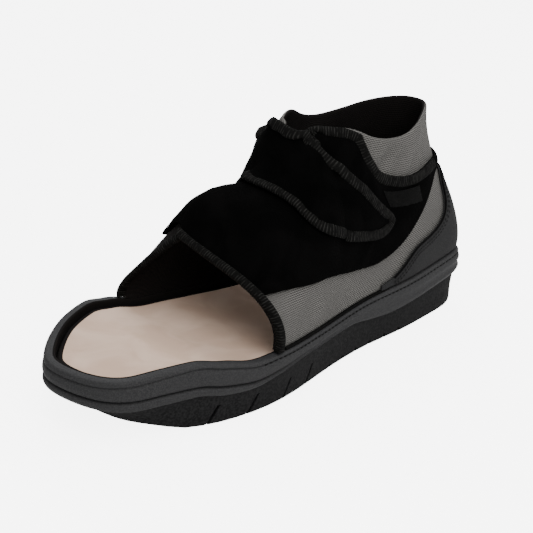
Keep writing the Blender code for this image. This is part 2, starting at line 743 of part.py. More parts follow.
def step_inside(chart, points, distance):
    # Moves the points of an outline inward over the last by a distance.
    step = 1e-3
    here = last_point(*chart(points[:, 0], points[:, 1]))
    distance = room_inside(here, BINDING_WIDTH) * distance / BINDING_WIDTH
    along = (last_point(*chart(points[:, 0] + step, points[:, 1])) - here) / step
    over = (last_point(*chart(points[:, 0], points[:, 1] + step)) - here) / step
    ahead = np.roll(here, -1, 0) - here
    ahead /= np.linalg.norm(ahead, axis=1, keepdims=True)
    run = ahead + np.roll(ahead, 1, 0)
    normal = np.cross(along, over)
    inward = np.cross(normal, run)
    area = np.cross(points, np.roll(points, -1, 0)).sum()
    inward *= np.sign(area) / np.linalg.norm(inward, axis=1, keepdims=True)
    moved = points.copy()
    for k in range(len(points)):
        frame = np.column_stack([along[k], over[k]])
        moved[k] += np.linalg.lstsq(frame, inward[k] * distance[k], rcond=None)[0]
    return moved


def inside(points, polygon):
    x, y = points[:, 0:1], points[:, 1:2]
    ax, ay = polygon[:, 0], polygon[:, 1]
    bx, by = np.roll(ax, -1), np.roll(ay, -1)
    with np.errstate(divide="ignore", invalid="ignore"):
        crossing = ((ay > y) != (by > y)) & (x < (bx - ax) * (y - ay) / (by - ay) + ax)
    return crossing.sum(1) % 2 == 1


def panel(name, chart, spots, lift, thickness, finish, bound, step=EDGE_STEP):
    # A sheet over the last, its edge rounded, or bound by a raised welt.
    edge = even_outline(chart, spots, step)
    if bound:
        lines = [edge, step_inside(chart, edge, BINDING_WIDTH / 2), step_inside(chart, edge, BINDING_WIDTH)]
        rises = [-EDGE_ROUND * thickness, BINDING_RISE, 0.0]
    else:
        lines = [edge, step_inside(chart, edge, thickness / 2)]
        rises = [-EDGE_ROUND * thickness, 0.0]
    core = lines[-1]
    low, high = core.min(0), core.max(0)
    grid = FIELD_STEP / np.array(CHART_SCALE)
    field = np.array(
        [
            (a, b)
            for i, a in enumerate(np.arange(low[0], high[0], grid[0]))
            for b in np.arange(low[1] + (i % 2) * grid[1] / 2, high[1], grid[1])
        ]
    )
    field = field[inside(field, core)]
    space = np.linalg.norm((field[:, None] - core[None]) * CHART_SCALE, axis=2).min(1)
    field = field[space > FIELD_STEP / 2]
    flat = np.concatenate([*lines, field])
    rise = np.concatenate([np.full(len(line), r) for line, r in zip(lines, rises)] + [np.zeros(len(field))])
    rise *= 1 - ease(*WELT_END, flat[:, 0])
    links = []
    start = 0
    for line in lines:
        links += [(start + k, start + (k + 1) % len(line)) for k in range(len(line))]
        start += len(line)
    scaled = [Vector(p) for p in (flat * CHART_SCALE).tolist()]
    spread = delaunay_2d_cdt(scaled, links, [], 1, 1e-7)
    if len(spread[0]) != len(flat):
        raise ValueError(f"the outline of {name} crosses itself")
    order = [source[0] for source in spread[3]]
    flat, rise = flat[order], rise[order]
    spot = chart(flat[:, 0], flat[:, 1])
    base = lift(flat[:, 0], flat[:, 1])
    bottom = offset_last(*spot, base)
    top = offset_last(*spot, base + thickness + rise)
    count = len(flat)
    faces = [tuple(f) for f in spread[2]]
    sides = {}
    for face in faces:
        for a, b in zip(face, face[1:] + face[:1]):
            sides[(a, b)] = True
    walls = [(a, b, b + count, a + count) for a, b in sides if (b, a) not in sides]
    lower = [tuple(reversed(f)) for f in faces]
    raised = [tuple(k + count for k in f) for f in faces]
    return add_object(name, np.concatenate([bottom, top]), lower + raised + walls, finish)


def counter_lift(turn, way):
    return np.full(len(turn), LAYER_GAP)


def heel_counter():
    line = [(s.place, s.over) for s in COUNTER_LINE]
    top = [Spot(-p, w) for p, w in reversed(line[1:])] + [Spot(p, w) for p, w in line]
    end = COUNTER_LINE[-1].place
    feet = [Spot(p, COUNTER_FOOT) for p in np.linspace(end, -end, 9)]
    top[0] = top[0]._replace(sharp=True)
    top[-1] = top[-1]._replace(sharp=True)
    feet[0] = feet[0]._replace(sharp=True)
    feet[-1] = feet[-1]._replace(sharp=True)
    panel("heel_counter", round_heel, top + feet, counter_lift, COUNTER, "counter", False)


def front_binding(name, side, overs, low, high):
    # A bead along the front edge, from the rim up, low to high above the last.
    chart_over = np.linspace(*overs, BEAD_STEPS)
    spot = across_instep(np.ones(BEAD_STEPS), chart_over)
    middle = last_point(*spot)
    normal = last_normal(*spot)
    run = np.gradient(middle, axis=0)
    run /= np.linalg.norm(run, axis=1, keepdims=True)
    across = np.cross(normal, run) * side
    bottom, top = low(chart_over), high(chart_over)
    centre = middle + across * (BINDING_WIDTH / 2 + FIT) + normal * ((bottom + top) / 2)[:, None]
    points = []
    for k in range(BEAD_SIDES):
        turn = 2 * math.pi * (k + 0.5) / BEAD_SIDES
        wide = math.copysign(abs(math.cos(turn)) ** 0.6, math.cos(turn)) * BINDING_WIDTH / 2
        deep = math.copysign(abs(math.sin(turn)) ** 0.6, math.sin(turn))
        points.append(centre + across * wide + normal * (deep * (top - bottom) / 2)[:, None])
    points = np.stack(points, 1)
    floor = rim_height(points[..., 1]) + FIT
    points[..., 2] = np.maximum(points[..., 2], floor)
    faces = []
    for k in range(BEAD_STEPS - 1):
        for j in range(BEAD_SIDES):
            n = (j + 1) % BEAD_SIDES
            a, b = k * BEAD_SIDES, (k + 1) * BEAD_SIDES
            faces.append((a + j, a + n, b + n, b + j))
    faces.append(tuple(range(BEAD_SIDES)))
    last = (BEAD_STEPS - 1) * BEAD_SIDES
    faces.append(tuple(range(last, last + BEAD_SIDES)))
    return add_object(name, points.reshape(-1, 3), faces, "binding")


def layer_gap(place, over):
    crown = ease(0.50, 0.60, place) * (1 - ease(0.78, 0.86, place)) * (1 - ease(0.55, 0.75, np.abs(over)))
    ridge = ease(0.78, 0.86, place) * (1 - ease(0.93, 0.99, place)) * (1 - ease(0.25, 0.45, np.abs(over)))
    return LAYER_GAP + CROWN_GAP * crown + RIDGE_GAP * ridge


def strap_lift(place, over):
    # The strap lies on the upper inside and climbs over the outer panel.
    over_panel = PANEL + BINDING_RISE + LAYER_GAP + FIT
    return layer_gap(place, over) + over_panel * (1 - ease(0.18, 0.50, over))


def flap_lift(place, over):
    # The flap's front edge rises over the bound edge of the inner quarter.
    over_quarter = ease(-0.30, -0.05, over) * ease(0.90, 0.97, place)
    return layer_gap(place, over) + (BINDING_RISE + FIT) * over_quarter


def label_lift(place, over):
    return layer_gap(place, over) + PANEL + FIT


def outer_bead_low(over):
    # The bead wraps the quarter's wall, and past the instep only the flap.
    wall = WALL + BINDING_RISE
    return (wall + flap_lift(1, over)) * ease(-0.10, 0.02, over) - wall


def outer_bead_high(over):
    return flap_lift(1, over) + PANEL + BINDING_RISE


def inner_bead_low(over):
    return np.full(len(over), -WALL - BINDING_RISE)


def inner_bead_high(over):
    return np.full(len(over), BINDING_RISE)


def build():
    for old in list(bpy.data.objects):
        bpy.data.objects.remove(old, do_unlink=True)
    outsole()
    midsole()
    insole()
    upper()
    heel_counter()
    panel("outer_panel", across_instep, OUTER_PANEL, flap_lift, PANEL, "velour", True)
    panel("ankle_strap", across_instep, ANKLE_STRAP, strap_lift, PANEL, "velour", True)
    panel("side_label", across_instep, LABEL_CORNERS, label_lift, LABEL, "binding", False, LABEL_STEP)
    front_binding("outer_binding", 1, (-0.985, 0.09), outer_bead_low, outer_bead_high)
    front_binding("inner_binding", -1, (0.985, 0.05), inner_bead_low, inner_bead_high)


build()
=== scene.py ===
import json
import math
from collections import namedtuple

import bmesh
import bpy
import numpy as np
from mathutils import Matrix, Vector
from mathutils.geometry import delaunay_2d_cdt

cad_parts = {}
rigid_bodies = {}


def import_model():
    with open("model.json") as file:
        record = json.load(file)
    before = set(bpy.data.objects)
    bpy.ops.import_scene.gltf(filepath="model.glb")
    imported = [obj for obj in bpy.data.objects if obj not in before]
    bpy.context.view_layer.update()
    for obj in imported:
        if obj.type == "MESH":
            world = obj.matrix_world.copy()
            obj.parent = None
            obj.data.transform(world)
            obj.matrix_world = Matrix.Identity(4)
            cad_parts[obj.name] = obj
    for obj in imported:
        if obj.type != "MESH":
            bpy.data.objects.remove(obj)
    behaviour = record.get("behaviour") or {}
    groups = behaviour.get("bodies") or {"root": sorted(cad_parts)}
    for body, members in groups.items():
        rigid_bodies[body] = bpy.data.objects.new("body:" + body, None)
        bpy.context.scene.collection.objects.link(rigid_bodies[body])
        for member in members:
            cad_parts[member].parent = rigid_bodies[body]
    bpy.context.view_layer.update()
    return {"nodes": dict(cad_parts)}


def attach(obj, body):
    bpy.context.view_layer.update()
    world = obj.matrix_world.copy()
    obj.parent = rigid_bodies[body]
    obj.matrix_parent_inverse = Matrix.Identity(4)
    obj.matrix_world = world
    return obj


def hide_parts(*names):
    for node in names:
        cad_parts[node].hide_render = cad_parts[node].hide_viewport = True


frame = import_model()
for item in bpy.data.objects:
    item.select_set(False)

# Camera, lights and floor
camera = {
    "place": (0.4672, -0.5823, 0.3530),
    "right": (0.69949, 0.71356, 0.03937),
    "up": (-0.31889, 0.26236, 0.91076),
    "back": (0.63955, -0.64962, 0.41106),
    "lens": 85,
}
bpy.ops.object.camera_add()
shot = bpy.context.object
shot.name = "studioCamera"
turn = Matrix((camera["right"], camera["up"], camera["back"])).transposed()
shot.matrix_world = Matrix.Translation(camera["place"]) @ turn.to_4x4()
shot.data.lens = camera["lens"]
bpy.context.scene.camera = shot

lights = [  # name, place, size, watts, colour
    ("keyLight", (0.82, -0.50, 1.12), 1.1, 15, (1.0, 0.99, 0.97)),
    ("skyLight", (-0.10, 0.05, 1.50), 1.8, 16, (1.0, 1.0, 1.0)),
    ("innerLight", (-1.05, 0.70, 0.85), 1.0, 7, (0.97, 0.98, 1.0)),
    ("rearLight", (0.60, 0.95, 0.80), 0.9, 5, (1.0, 1.0, 1.0)),
]
for name, place, size, watts, colour in lights:
    bpy.ops.object.light_add(type="AREA", location=place)
    lamp = bpy.context.object
    lamp.name = name
    lamp.data.shape = "DISK"
    lamp.data.size = size
    lamp.data.energy = watts
    lamp.data.color = colour
    aim = Vector((0.0, -0.10, 0.05)) - Vector(place)
    lamp.rotation_euler = aim.to_track_quat("-Z", "Y").to_euler()

world = bpy.context.scene.world or bpy.data.worlds.new("studioAir")
bpy.context.scene.world = world
world.use_nodes = True
world.node_tree.nodes["Background"].inputs["Color"].default_value = (1.0, 1.0, 1.0, 1.0)
world.node_tree.nodes["Background"].inputs["Strength"].default_value = 0.42

bpy.ops.mesh.primitive_plane_add(size=8.0, location=(0.0, 0.0, 0.0))
floor = bpy.context.object
floor.name = "paleFloor"
print("stage: camera, lights and floor stand")

# Shape of the shoe, by length, ball width and shaft height, in metres
soleLength = 0.300  # sole, from the back of the heel to the toe
ballWidth = 0.112  # sole, at its widest
heelBack = 0.045  # from the origin to the back of the sole
outsoleHeight = 0.020
midsoleHeight = 0.0145
shaftHeight = 0.098  # from the midsole's rim at the waist to the collar
topWidth = 0.060  # collar, from its inner to its outer side
footbedThick = 0.005  # insole thickness
footbedDrop = 0.0035  # insole below the rim
wallThick = 0.0025  # spacer mesh of the upper
panelThick = 0.0018  # velour panels and straps
counterThick = 0.0015
bindingWidth = 0.0048
bindingRise = 0.0006  # a bound edge stands proud of its panel
rimWidth = 0.0042  # midsole that shows outside the upper
labelThick = 0.0005
fitGap = 0.0003  # between pieces that meet
clothGap = 0.0009  # between curved layers, at their sections
crownGap = 0.0013  # added where the collar turns tightly into the throat
ridgeGap = 0.0007  # added along the instep's ridge
ribDepth = 0.0020  # groove between the toe ribs
ribEdge = 0.0010  # from a rib or crease to the wall above and below it
shallowGroove = 0.0006  # grooves stay this deep where the ribs run out
creaseDepth = 0.0016
soleLip = 0.0026  # the midsole's lower edge stands out from the outsole
roundOff = 0.0012  # of the insole's edges
insoleCup = 0.0010  # hollow of the footbed
insoleCupWidth = 0.0120
narrowShare = 0.30  # of a narrow panel's width, for the binding of each edge
chartScale = (0.200, 0.110)  # rough length of a unit of each chart coordinate

# Plan of the sole: across is positive to the outer side, a share of ballWidth,
# along a share of soleLength from the heel.
Plan = namedtuple("Plan", "along outer inner")
planRows = [Plan(*row) for row in (
    (0.000, 0.003, 0.003), (0.006, 0.140, -0.130), (0.025, 0.270, -0.240), (0.065, 0.330, -0.315),
    (0.133, 0.353, -0.350), (0.233, 0.379, -0.350), (0.367, 0.396, -0.341), (0.500, 0.450, -0.371),
    (0.633, 0.511, -0.439), (0.747, 0.490, -0.489), (0.840, 0.422, -0.452), (0.920, 0.340, -0.358),
    (0.972, 0.225, -0.237), (1.000, -0.060, -0.060),
)]

# Side of the sole: edge is a share of outsoleHeight, rim of midsoleHeight above
# the edge, groove and crease of the way from edge to rim, and ribs of ribDepth.
Side = namedtuple("Side", "along edge groove crease rim ribs")
sideRows = [Side(*row) for row in (
    (0.000, 1.170, 0.40, 0.84, 0.979, 0.05),
    (0.100, 1.020, 0.40, 0.84, 1.055, 0.05),
    (0.200, 0.910, 0.40, 0.84, 1.076, 0.05),
    (0.280, 0.860, 0.40, 0.84, 1.110, 0.05),
    (0.350, 0.960, 0.40, 0.84, 0.945, 0.05),
    (0.420, 1.130, 0.40, 0.80, 0.662, 0.05),
    (0.500, 1.145, 0.30, 0.78, 0.607, 0.10),
    (0.580, 1.160, 0.26, 0.78, 0.634, 0.25),
    (0.650, 1.040, 0.24, 0.82, 0.834, 0.75),
    (0.717, 0.890, 0.29, 0.84, 1.090, 1.00),
    (0.770, 0.940, 0.30, 0.85, 1.297, 1.00),
    (0.825, 1.085, 0.31, 0.86, 1.331, 1.00),
    (0.880, 1.050, 0.33, 0.83, 1.317, 1.00),
    (0.940, 0.975, 0.34, 0.81, 1.248, 1.00),
    (1.000, 0.980, 0.35, 0.80, 1.103, 1.00),
)]

# Sections of the last, from the heel seam (0) to the front edge (1). Each runs
# from its foot on the rim, outerFoot or innerFoot along soleLength, to its top,
# which lies by half to either side of middle. Widths are shares of topWidth,
# topAlong and the leads of soleLength, heights of shaftHeight. Reach, lead and
# drop shape the way into the top, rise and lean the way out of the foot.
Cut = namedtuple(
    "Cut",
    "place outerFoot innerFoot middle half topAlong topUp "
    "outerReach innerReach outerLead innerLead drop outerRise innerRise lean",
)
lastRows = [Cut(*row) for row in (
    (0.00, 0.000, 0.000, 0.000, 0.00, 0.083, 0.975, 0.02, 0.020, 0.000, 0.00, 0.39, 0.38, 0.38, 0.010),
    (0.09, 0.013, 0.013, 0.000, 0.16, 0.096, 0.975, 0.02, 0.020, 0.000, 0.00, 0.39, 0.38, 0.38, 0.010),
    (0.18, 0.048, 0.048, 0.000, 0.31, 0.136, 0.963, 0.02, 0.020, 0.000, 0.00, 0.38, 0.38, 0.38, 0.010),
    (0.30, 0.125, 0.125, 0.010, 0.44, 0.191, 0.933, 0.04, 0.030, 0.000, 0.00, 0.34, 0.36, 0.36, 0.012),
    (0.43, 0.240, 0.250, 0.020, 0.51, 0.262, 0.910, 0.04, 0.040, 0.000, 0.00, 0.30, 0.34, 0.34, 0.020),
    (0.55, 0.345, 0.365, -0.010, 0.48, 0.337, 0.950, 0.08, 0.070, 0.000, 0.00, 0.30, 0.34, 0.34, 0.030),
    (0.63, 0.410, 0.435, -0.060, 0.36, 0.385, 1.010, 0.26, 0.120, 0.000, 0.00, 0.18, 0.38, 0.38, 0.040),
    (0.68, 0.446, 0.480, -0.110, 0.20, 0.424, 1.010, 0.46, 0.110, 0.000, 0.00, 0.05, 0.42, 0.38, 0.045),
    (0.72, 0.472, 0.515, -0.145, 0.00, 0.444, 1.010, 0.60, 0.065, 0.000, 0.00, 0.00, 0.45, 0.34, 0.050),
    (0.79, 0.515, 0.570, -0.105, 0.00, 0.474, 0.826, 0.70, 0.060, 0.000, 0.00, 0.00, 0.52, 0.39, 0.060),
    (0.86, 0.560, 0.620, -0.145, 0.00, 0.526, 0.690, 0.80, 0.120, 0.010, 0.00, 0.00, 0.56, 0.38, 0.060),
    (0.93, 0.601, 0.675, -0.240, 0.00, 0.606, 0.655, 0.80, 0.170, 0.020, 0.00, 0.00, 0.56, 0.38, 0.050),
    (1.00, 0.644, 0.727, -0.285, 0.00, 0.670, 0.480, 0.66, 0.100, 0.028, -0.01, 0.00, 0.72, 0.22, 0.115),
)]

# Where the upper's wall ends, as a share of the way from foot to top.
Throat = namedtuple("Throat", "place outer inner")
throatRows = [Throat(*row) for row in (
    (0.00, 1.000, 1.000), (0.64, 1.000, 1.000), (0.68, 0.960, 0.980), (0.73, 0.800, 0.880),
    (0.77, 0.820, 0.880), (0.83, 0.975, 0.975), (1.00, 0.975, 0.975),
)]

# Outlines on the last, by place and either over, which runs from -1 at the outer
# foot through 0 on the instep to 1 at the inner foot, or way. A sharp spot is a
# corner, the others lie on a smooth curve.
Spot = namedtuple("Spot", "place over sharp", defaults=(False,))


def spotList(*rows):
    return [Spot(*row) for row in rows]


outerPanelSpots = spotList(
    (0.015, -0.300, True), (0.120, -0.292), (0.244, -0.277), (0.308, -0.273), (0.375, -0.268),
    (0.438, -0.250), (0.489, -0.222), (0.540, -0.188), (0.575, -0.115), (0.588, -0.012, True),
    (0.630, -0.010), (0.672, -0.040), (0.700, -0.110), (0.725, -0.200), (0.765, -0.290),
    (0.800, -0.300), (0.825, -0.200), (0.840, -0.100), (0.848, 0.000), (0.858, 0.100), (0.880, 0.250),
    (0.893, 0.400), (0.900, 0.510), (0.922, 0.560), (0.946, 0.530), (0.962, 0.420), (0.976, 0.260),
    (0.990, 0.120), (1.000, 0.000), (1.000, -0.150), (1.000, -0.400), (1.000, -0.600, True),
    (0.967, -0.650), (0.908, -0.695), (0.837, -0.725), (0.787, -0.762), (0.753, -0.788),
    (0.715, -0.802), (0.626, -0.794), (0.540, -0.777), (0.456, -0.711), (0.393, -0.611),
    (0.330, -0.510), (0.276, -0.431), (0.215, -0.378), (0.130, -0.368), (0.015, -0.372, True),
)
ankleStrapSpots = spotList(
    (0.730, -0.030), (0.728, -0.140), (0.707, -0.215), (0.681, -0.315), (0.640, -0.366),
    (0.575, -0.397), (0.518, -0.440), (0.498, -0.500), (0.525, -0.572), (0.590, -0.627),
    (0.665, -0.655), (0.722, -0.655), (0.758, -0.617), (0.787, -0.566), (0.821, -0.478),
    (0.844, -0.371), (0.854, -0.275), (0.865, -0.180), (0.876, -0.090), (0.879, 0.000), (0.869, 0.080),
    (0.852, 0.150), (0.836, 0.215), (0.820, 0.290), (0.804, 0.390), (0.788, 0.520), (0.768, 0.650),
    (0.710, 0.735), (0.600, 0.765), (0.480, 0.735), (0.393, 0.620), (0.330, 0.510), (0.276, 0.431),
    (0.215, 0.378), (0.130, 0.368), (0.015, 0.372, True), (0.015, 0.300, True), (0.120, 0.292),
    (0.244, 0.280), (0.340, 0.275), (0.460, 0.260), (0.580, 0.275), (0.670, 0.240), (0.715, 0.140),
    (0.724, 0.060),
)
# The counter's top line, by way over place, the same on both sides, and the label.
counterSpots = spotList(
    (0.000, 0.590), (0.100, 0.590), (0.160, 0.565), (0.191, 0.485), (0.217, 0.385), (0.245, 0.322),
    (0.290, 0.268), (0.345, 0.236), (0.390, 0.214), (0.425, 0.160), (0.458, 0.100), (0.485, 0.066),
    (0.520, 0.050),
)
counterFoot = 0.014
labelSpots = spotList(
    (0.530, -0.314, True), (0.372, -0.352, True), (0.366, -0.470, True), (0.500, -0.425, True),
)


def tableColumn(rows, name):
    return np.array([getattr(row, name) for row in rows], float)


def levelCurve(keys, values, at):
    # A smooth curve through the rows of a table that never overshoots them.
    at = np.clip(at, keys[0], keys[-1])
    gaps = np.diff(keys)
    slopes = np.diff(values) / gaps
    ends = np.zeros(len(keys))
    turning = slopes[:-1] * slopes[1:] <= 0
    before = 2 * gaps[1:] + gaps[:-1]
    after = gaps[1:] + 2 * gaps[:-1]
    safe = np.where(turning, 1.0, slopes[:-1]), np.where(turning, 1.0, slopes[1:])
    ends[1:-1] = np.where(turning, 0, (before + after) / (before / safe[0] + after / safe[1]))
    ends[0] = slopes[0]
    ends[-1] = slopes[-1]
    k = np.clip(np.searchsorted(keys, at, side="right") - 1, 0, len(gaps) - 1)
    t = (at - keys[k]) / gaps[k]
    return bridge(t, values[k], values[k + 1], ends[k], ends[k + 1], gaps[k])


def fairCurve(keys, values, at):
    # The natural cubic spline through the rows of a table.
    n = len(keys)
    gaps = np.diff(keys)
    slopes = np.diff(values) / gaps
    matrix = np.eye(n)
    bends = np.zeros(n)
    for k in range(1, n - 1):
        matrix[k, k - 1 : k + 2] = gaps[k - 1], 2 * (gaps[k - 1] + gaps[k]), gaps[k]
        bends[k] = 6 * (slopes[k] - slopes[k - 1])
    bends = np.linalg.solve(matrix, bends)
    k = np.clip(np.searchsorted(keys, at, side="right") - 1, 0, n - 2)
    a = at - keys[k]
    b = keys[k + 1] - at
    return (
        (bends[k] * b**3 + bends[k + 1] * a**3) / (6 * gaps[k])
        + (values[k] / gaps[k] - bends[k] * gaps[k] / 6) * b
        + (values[k + 1] / gaps[k] - bends[k + 1] * gaps[k] / 6) * a
    )


def ease(low, high, at):
    t = np.clip((at - low) / (high - low), 0, 1)
    return t * t * (3 - 2 * t)


def unit(vectors):
    return vectors / np.linalg.norm(vectors, axis=-1, keepdims=True)


def runLength(points):
    # How far each point lies along its line.
    return np.concatenate([[0], np.cumsum(np.linalg.norm(np.diff(points, axis=0), axis=1))])


def bridge(t, first, last, firstPull, lastPull, gap=1):
    # A smooth step from one value to the next, with a pull at each end.
    return (
        (1 + 2 * t) * (1 - t) ** 2 * first
        + t * (1 - t) ** 2 * gap * firstPull
        + t**2 * (3 - 2 * t) * last
        + t**2 * (t - 1) * gap * lastPull
    )


# Plan of the sole, by an angle that runs from the heel (0) along the outer side
# to the toe (pi) and back along the inner side.
def planAngle(along):
    return np.arccos(np.clip(1 - 2 * np.asarray(along), -1, 1))


def planTable():
    angles = planAngle(tableColumn(planRows, "along"))
    outer = tableColumn(planRows, "outer")
    inner = tableColumn(planRows, "inner")
    turn = 2 * math.pi
    keys = np.concatenate([angles[-4:-1] - turn, -angles[:0:-1], angles, turn - angles[-2:-5:-1]])
    values = np.concatenate([outer[-4:-1], inner[:0:-1], outer, inner[-2:-5:-1]])
    return keys, values * ballWidth


planKeys, planValues = planTable()


def outline(angle):
    across = fairCurve(planKeys, planValues, angle)
    return np.stack([across, heelBack - (1 - np.cos(angle)) / 2 * soleLength], -1)


def outlineNormal(angle):
    step = 1e-3
    run = unit(outline(angle + step) - outline(angle - step))
    return np.stack([-run[..., 1], run[..., 0]], -1)


def insetOutline(angle, inset):
    angle = (angle + math.pi) % (2 * math.pi) - math.pi
    return outline(angle) - outlineNormal(angle) * np.asarray(inset)[..., None]


def sideAt(y, name):
    along = (heelBack - y) / soleLength
    return levelCurve(tableColumn(sideRows, "along"), tableColumn(sideRows, name), along)


def edgeHeight(y):
    return outsoleHeight * sideAt(y, "edge")


def rimHeight(y):
    return edgeHeight(y) + midsoleHeight * sideAt(y, "rim")


def footbedHeight(y):
    return rimHeight(y) - footbedDrop


def floorHeight(y):
    return footbedHeight(y) - footbedThick - fitGap


# The last: side is 1 on the outer side and -1 on the inner side, place runs
# from the heel seam to the front edge, way from the foot to the top.
def throughHeel(curve, outer, inner, side, place):
    # One curve from the inner front edge through the heel seam to the outer one.
    keys = tableColumn(lastRows, "place")
    signed = np.concatenate([-keys[:0:-1], keys])
    return curve(signed, np.concatenate([inner[:0:-1], outer]), side * place)


def lastColumn(name, side, place):
    values = tableColumn(lastRows, name)
    return throughHeel(fairCurve, values, values, side, place)


def footAngle(side, place):
    outer = planAngle(tableColumn(lastRows, "outerFoot"))
    inner = planAngle(tableColumn(lastRows, "innerFoot"))
    return throughHeel(fairCurve, outer, -inner, side, place)


def lastTop(side, place):
    half = tableColumn(lastRows, "half")
    spread = throughHeel(levelCurve, half, -half, side, place)
    x = (lastColumn("middle", side, place) + spread) * topWidth
    y = heelBack - lastColumn("topAlong", side, place) * soleLength
    waistRim = outsoleHeight + midsoleHeight
    z = waistRim + lastColumn("topUp", side, place) * shaftHeight
    return np.stack([x, y, z], -1)


def lastPoint(side, place, way):
    side, place, way = np.broadcast_arrays(*(np.asarray(v, float) for v in (side, place, way)))
    angle = footAngle(side, place)
    plan = insetOutline(angle, np.full(angle.shape, rimWidth))
    foot = np.concatenate([plan, (rimHeight(plan[..., 1]) + fitGap)[..., None]], -1)
    top = lastTop(side, place)
    step = 1e-3
    run = unit(lastTop(side, place + step) - lastTop(side, place - step))
    away = outlineNormal(angle)
    vamp = ease(0.55, 0.71, place)
    level = unit(np.stack([away[..., 0], away[..., 1] * (1 - vamp), 0 * vamp], -1))
    outer = side > 0
    reach, lead, rise = (
        np.where(outer, lastColumn("outer" + word, side, place), lastColumn("inner" + word, side, place))
        for word in ("Reach", "Lead", "Rise")
    )
    flat = np.concatenate([away, 0 * away[..., :1]], -1)
    up = np.array([0.0, 0.0, 1.0])
    lean = (lastColumn("lean", side, place) * topWidth)[..., None]
    rise = (rise * (top[..., 2] - foot[..., 2]))[..., None]
    drop = (lastColumn("drop", side, place) * shaftHeight)[..., None]
    low = foot + flat * lean + up * rise
    high = top + level * (reach * topWidth)[..., None] + run * (lead * soleLength)[..., None] - up * drop
    t = way[..., None]
    return foot * (1 - t) ** 3 + 3 * low * t * (1 - t) ** 2 + 3 * high * t**2 * (1 - t) + top * t**3


def lastNormal(side, place, way):
    step = 2e-3
    ahead = lastPoint(side, place + step, way) - lastPoint(side, place - step, way)
    way = np.asarray(way, float)
    above = lastPoint(side, place, np.minimum(way + step, 1)) - lastPoint(side, place, way - step)
    normal = np.cross(ahead, above) * -np.broadcast_to(np.asarray(side, float), ahead.shape[:-1])[..., None]
    return unit(normal)


def offsetLast(side, place, way, lift):
    lift = np.asarray(lift, float)
    return lastPoint(side, place, way) + lastNormal(side, place, way) * lift[..., None]


# Two charts of the last. over runs from -1 at the outer foot through 0 on the
# instep to 1 at the inner foot. turn runs from -1 at the inner front edge through
# 0 at the heel seam to 1 at the outer front edge.
def acrossInstep(place, over):
    return np.where(over <= 0, 1.0, -1.0), place, 1 - np.abs(over)


def roundHeel(turn, way):
    return np.where(turn >= 0, 1.0, -1.0), np.abs(turn), way


# Outlines of the panels, in a chart of the last.
def smoothOutline(spots):
    # Fair curves through the spots, broken at the sharp ones, densely sampled.
    points = np.array([(s.place, s.over) for s in spots])
    corners = [k for k, s in enumerate(spots) if s.sharp]
    count = len(spots)
    runs = []
    if corners:
        for a, b in zip(corners, corners[1:] + [corners[0] + count]):
            runs.append([k % count for k in range(a, b + 1)])
    else:
        runs.append([k % count for k in range(-3, count + 4)])
    pieces = []
    for run in runs:
        through = points[run]
        reach = np.linalg.norm(np.diff(through, axis=0) * chartScale, axis=1)
        keys = np.concatenate([[0], np.cumsum(np.sqrt(reach))])
        first, last = (0, len(run) - 1) if corners else (3, len(run) - 4)
        at = np.linspace(keys[first], keys[last], 40 * (last - first) + 1)[:-1]
        curve = np.column_stack([fairCurve(keys, through[:, k], at) for k in (0, 1)])
        starts = np.zeros(len(at), bool)
        starts[0] = bool(corners)
        pieces.append((curve, starts))
    return np.concatenate([p[0] for p in pieces]), np.concatenate([p[1] for p in pieces])


def evenOutline(chart, spots, step):
    curve, starts = smoothOutline(spots)
    solid = lastPoint(*chart(curve[:, 0], curve[:, 1]))
    breaks = list(np.flatnonzero(starts)) or [0]
    picked = []
    for a, b in zip(breaks, breaks[1:] + [breaks[0] + len(curve)]):
        run = [k % len(curve) for k in range(a, b + 1)]
        length = runLength(solid[run])
        count = max(1, round(length[-1] / step))
        at = np.arange(count) * length[-1] / count
        picked.append(np.column_stack([np.interp(at, length, curve[run][:, k]) for k in (0, 1)]))
    return np.concatenate(picked)


def roomInside(here, distance):
    # How far each point of an outline may move in where its panel is narrow.
    length = runLength(here)
    total = length[-1] + np.linalg.norm(here[0] - here[-1])
    apart = np.abs(length[:, None] - length[None])
    apart = np.minimum(apart, total - apart)
    gap = np.linalg.norm(here[:, None] - here[None], axis=2)
    gap = np.where(apart > 2.2 * distance, gap, np.inf).min(1)
    return np.minimum(distance, narrowShare * gap)


def chartSlopes(chart, points, here):
    step = 1e-3
    along = (lastPoint(*chart(points[:, 0] + step, points[:, 1])) - here) / step
    over = (lastPoint(*chart(points[:, 0], points[:, 1] + step)) - here) / step
    return along, over


def slideOver(points, slopes, shifts):
    # Moves points of a chart so that they go by the shifts over the last.
    moved = points.copy()
    for k, (along, over) in enumerate(zip(*slopes)):
        moved[k] += np.linalg.lstsq(np.column_stack([along, over]), shifts[k], rcond=None)[0]
    return moved


def stepInside(chart, points, distance):
    # Moves the points of an outline inward over the last by a distance.
    here = lastPoint(*chart(points[:, 0], points[:, 1]))
    distance = roomInside(here, bindingWidth) * distance / bindingWidth
    slopes = chartSlopes(chart, points, here)
    ahead = unit(np.roll(here, -1, 0) - here)
    inward = np.cross(np.cross(*slopes), ahead + np.roll(ahead, 1, 0))
    turning = np.sign(np.cross(points, np.roll(points, -1, 0)).sum())
    return slideOver(points, slopes, unit(inward) * turning * distance[:, None])


def inside(points, polygon):
    x, y = points[:, 0:1], points[:, 1:2]
    ax, ay = polygon[:, 0], polygon[:, 1]
    bx, by = np.roll(ax, -1), np.roll(ay, -1)
    with np.errstate(divide="ignore", invalid="ignore"):
        crossing = ((ay > y) != (by > y)) & (x < (bx - ax) * (y - ay) / (by - ay) + ax)
    return crossing.sum(1) % 2 == 1


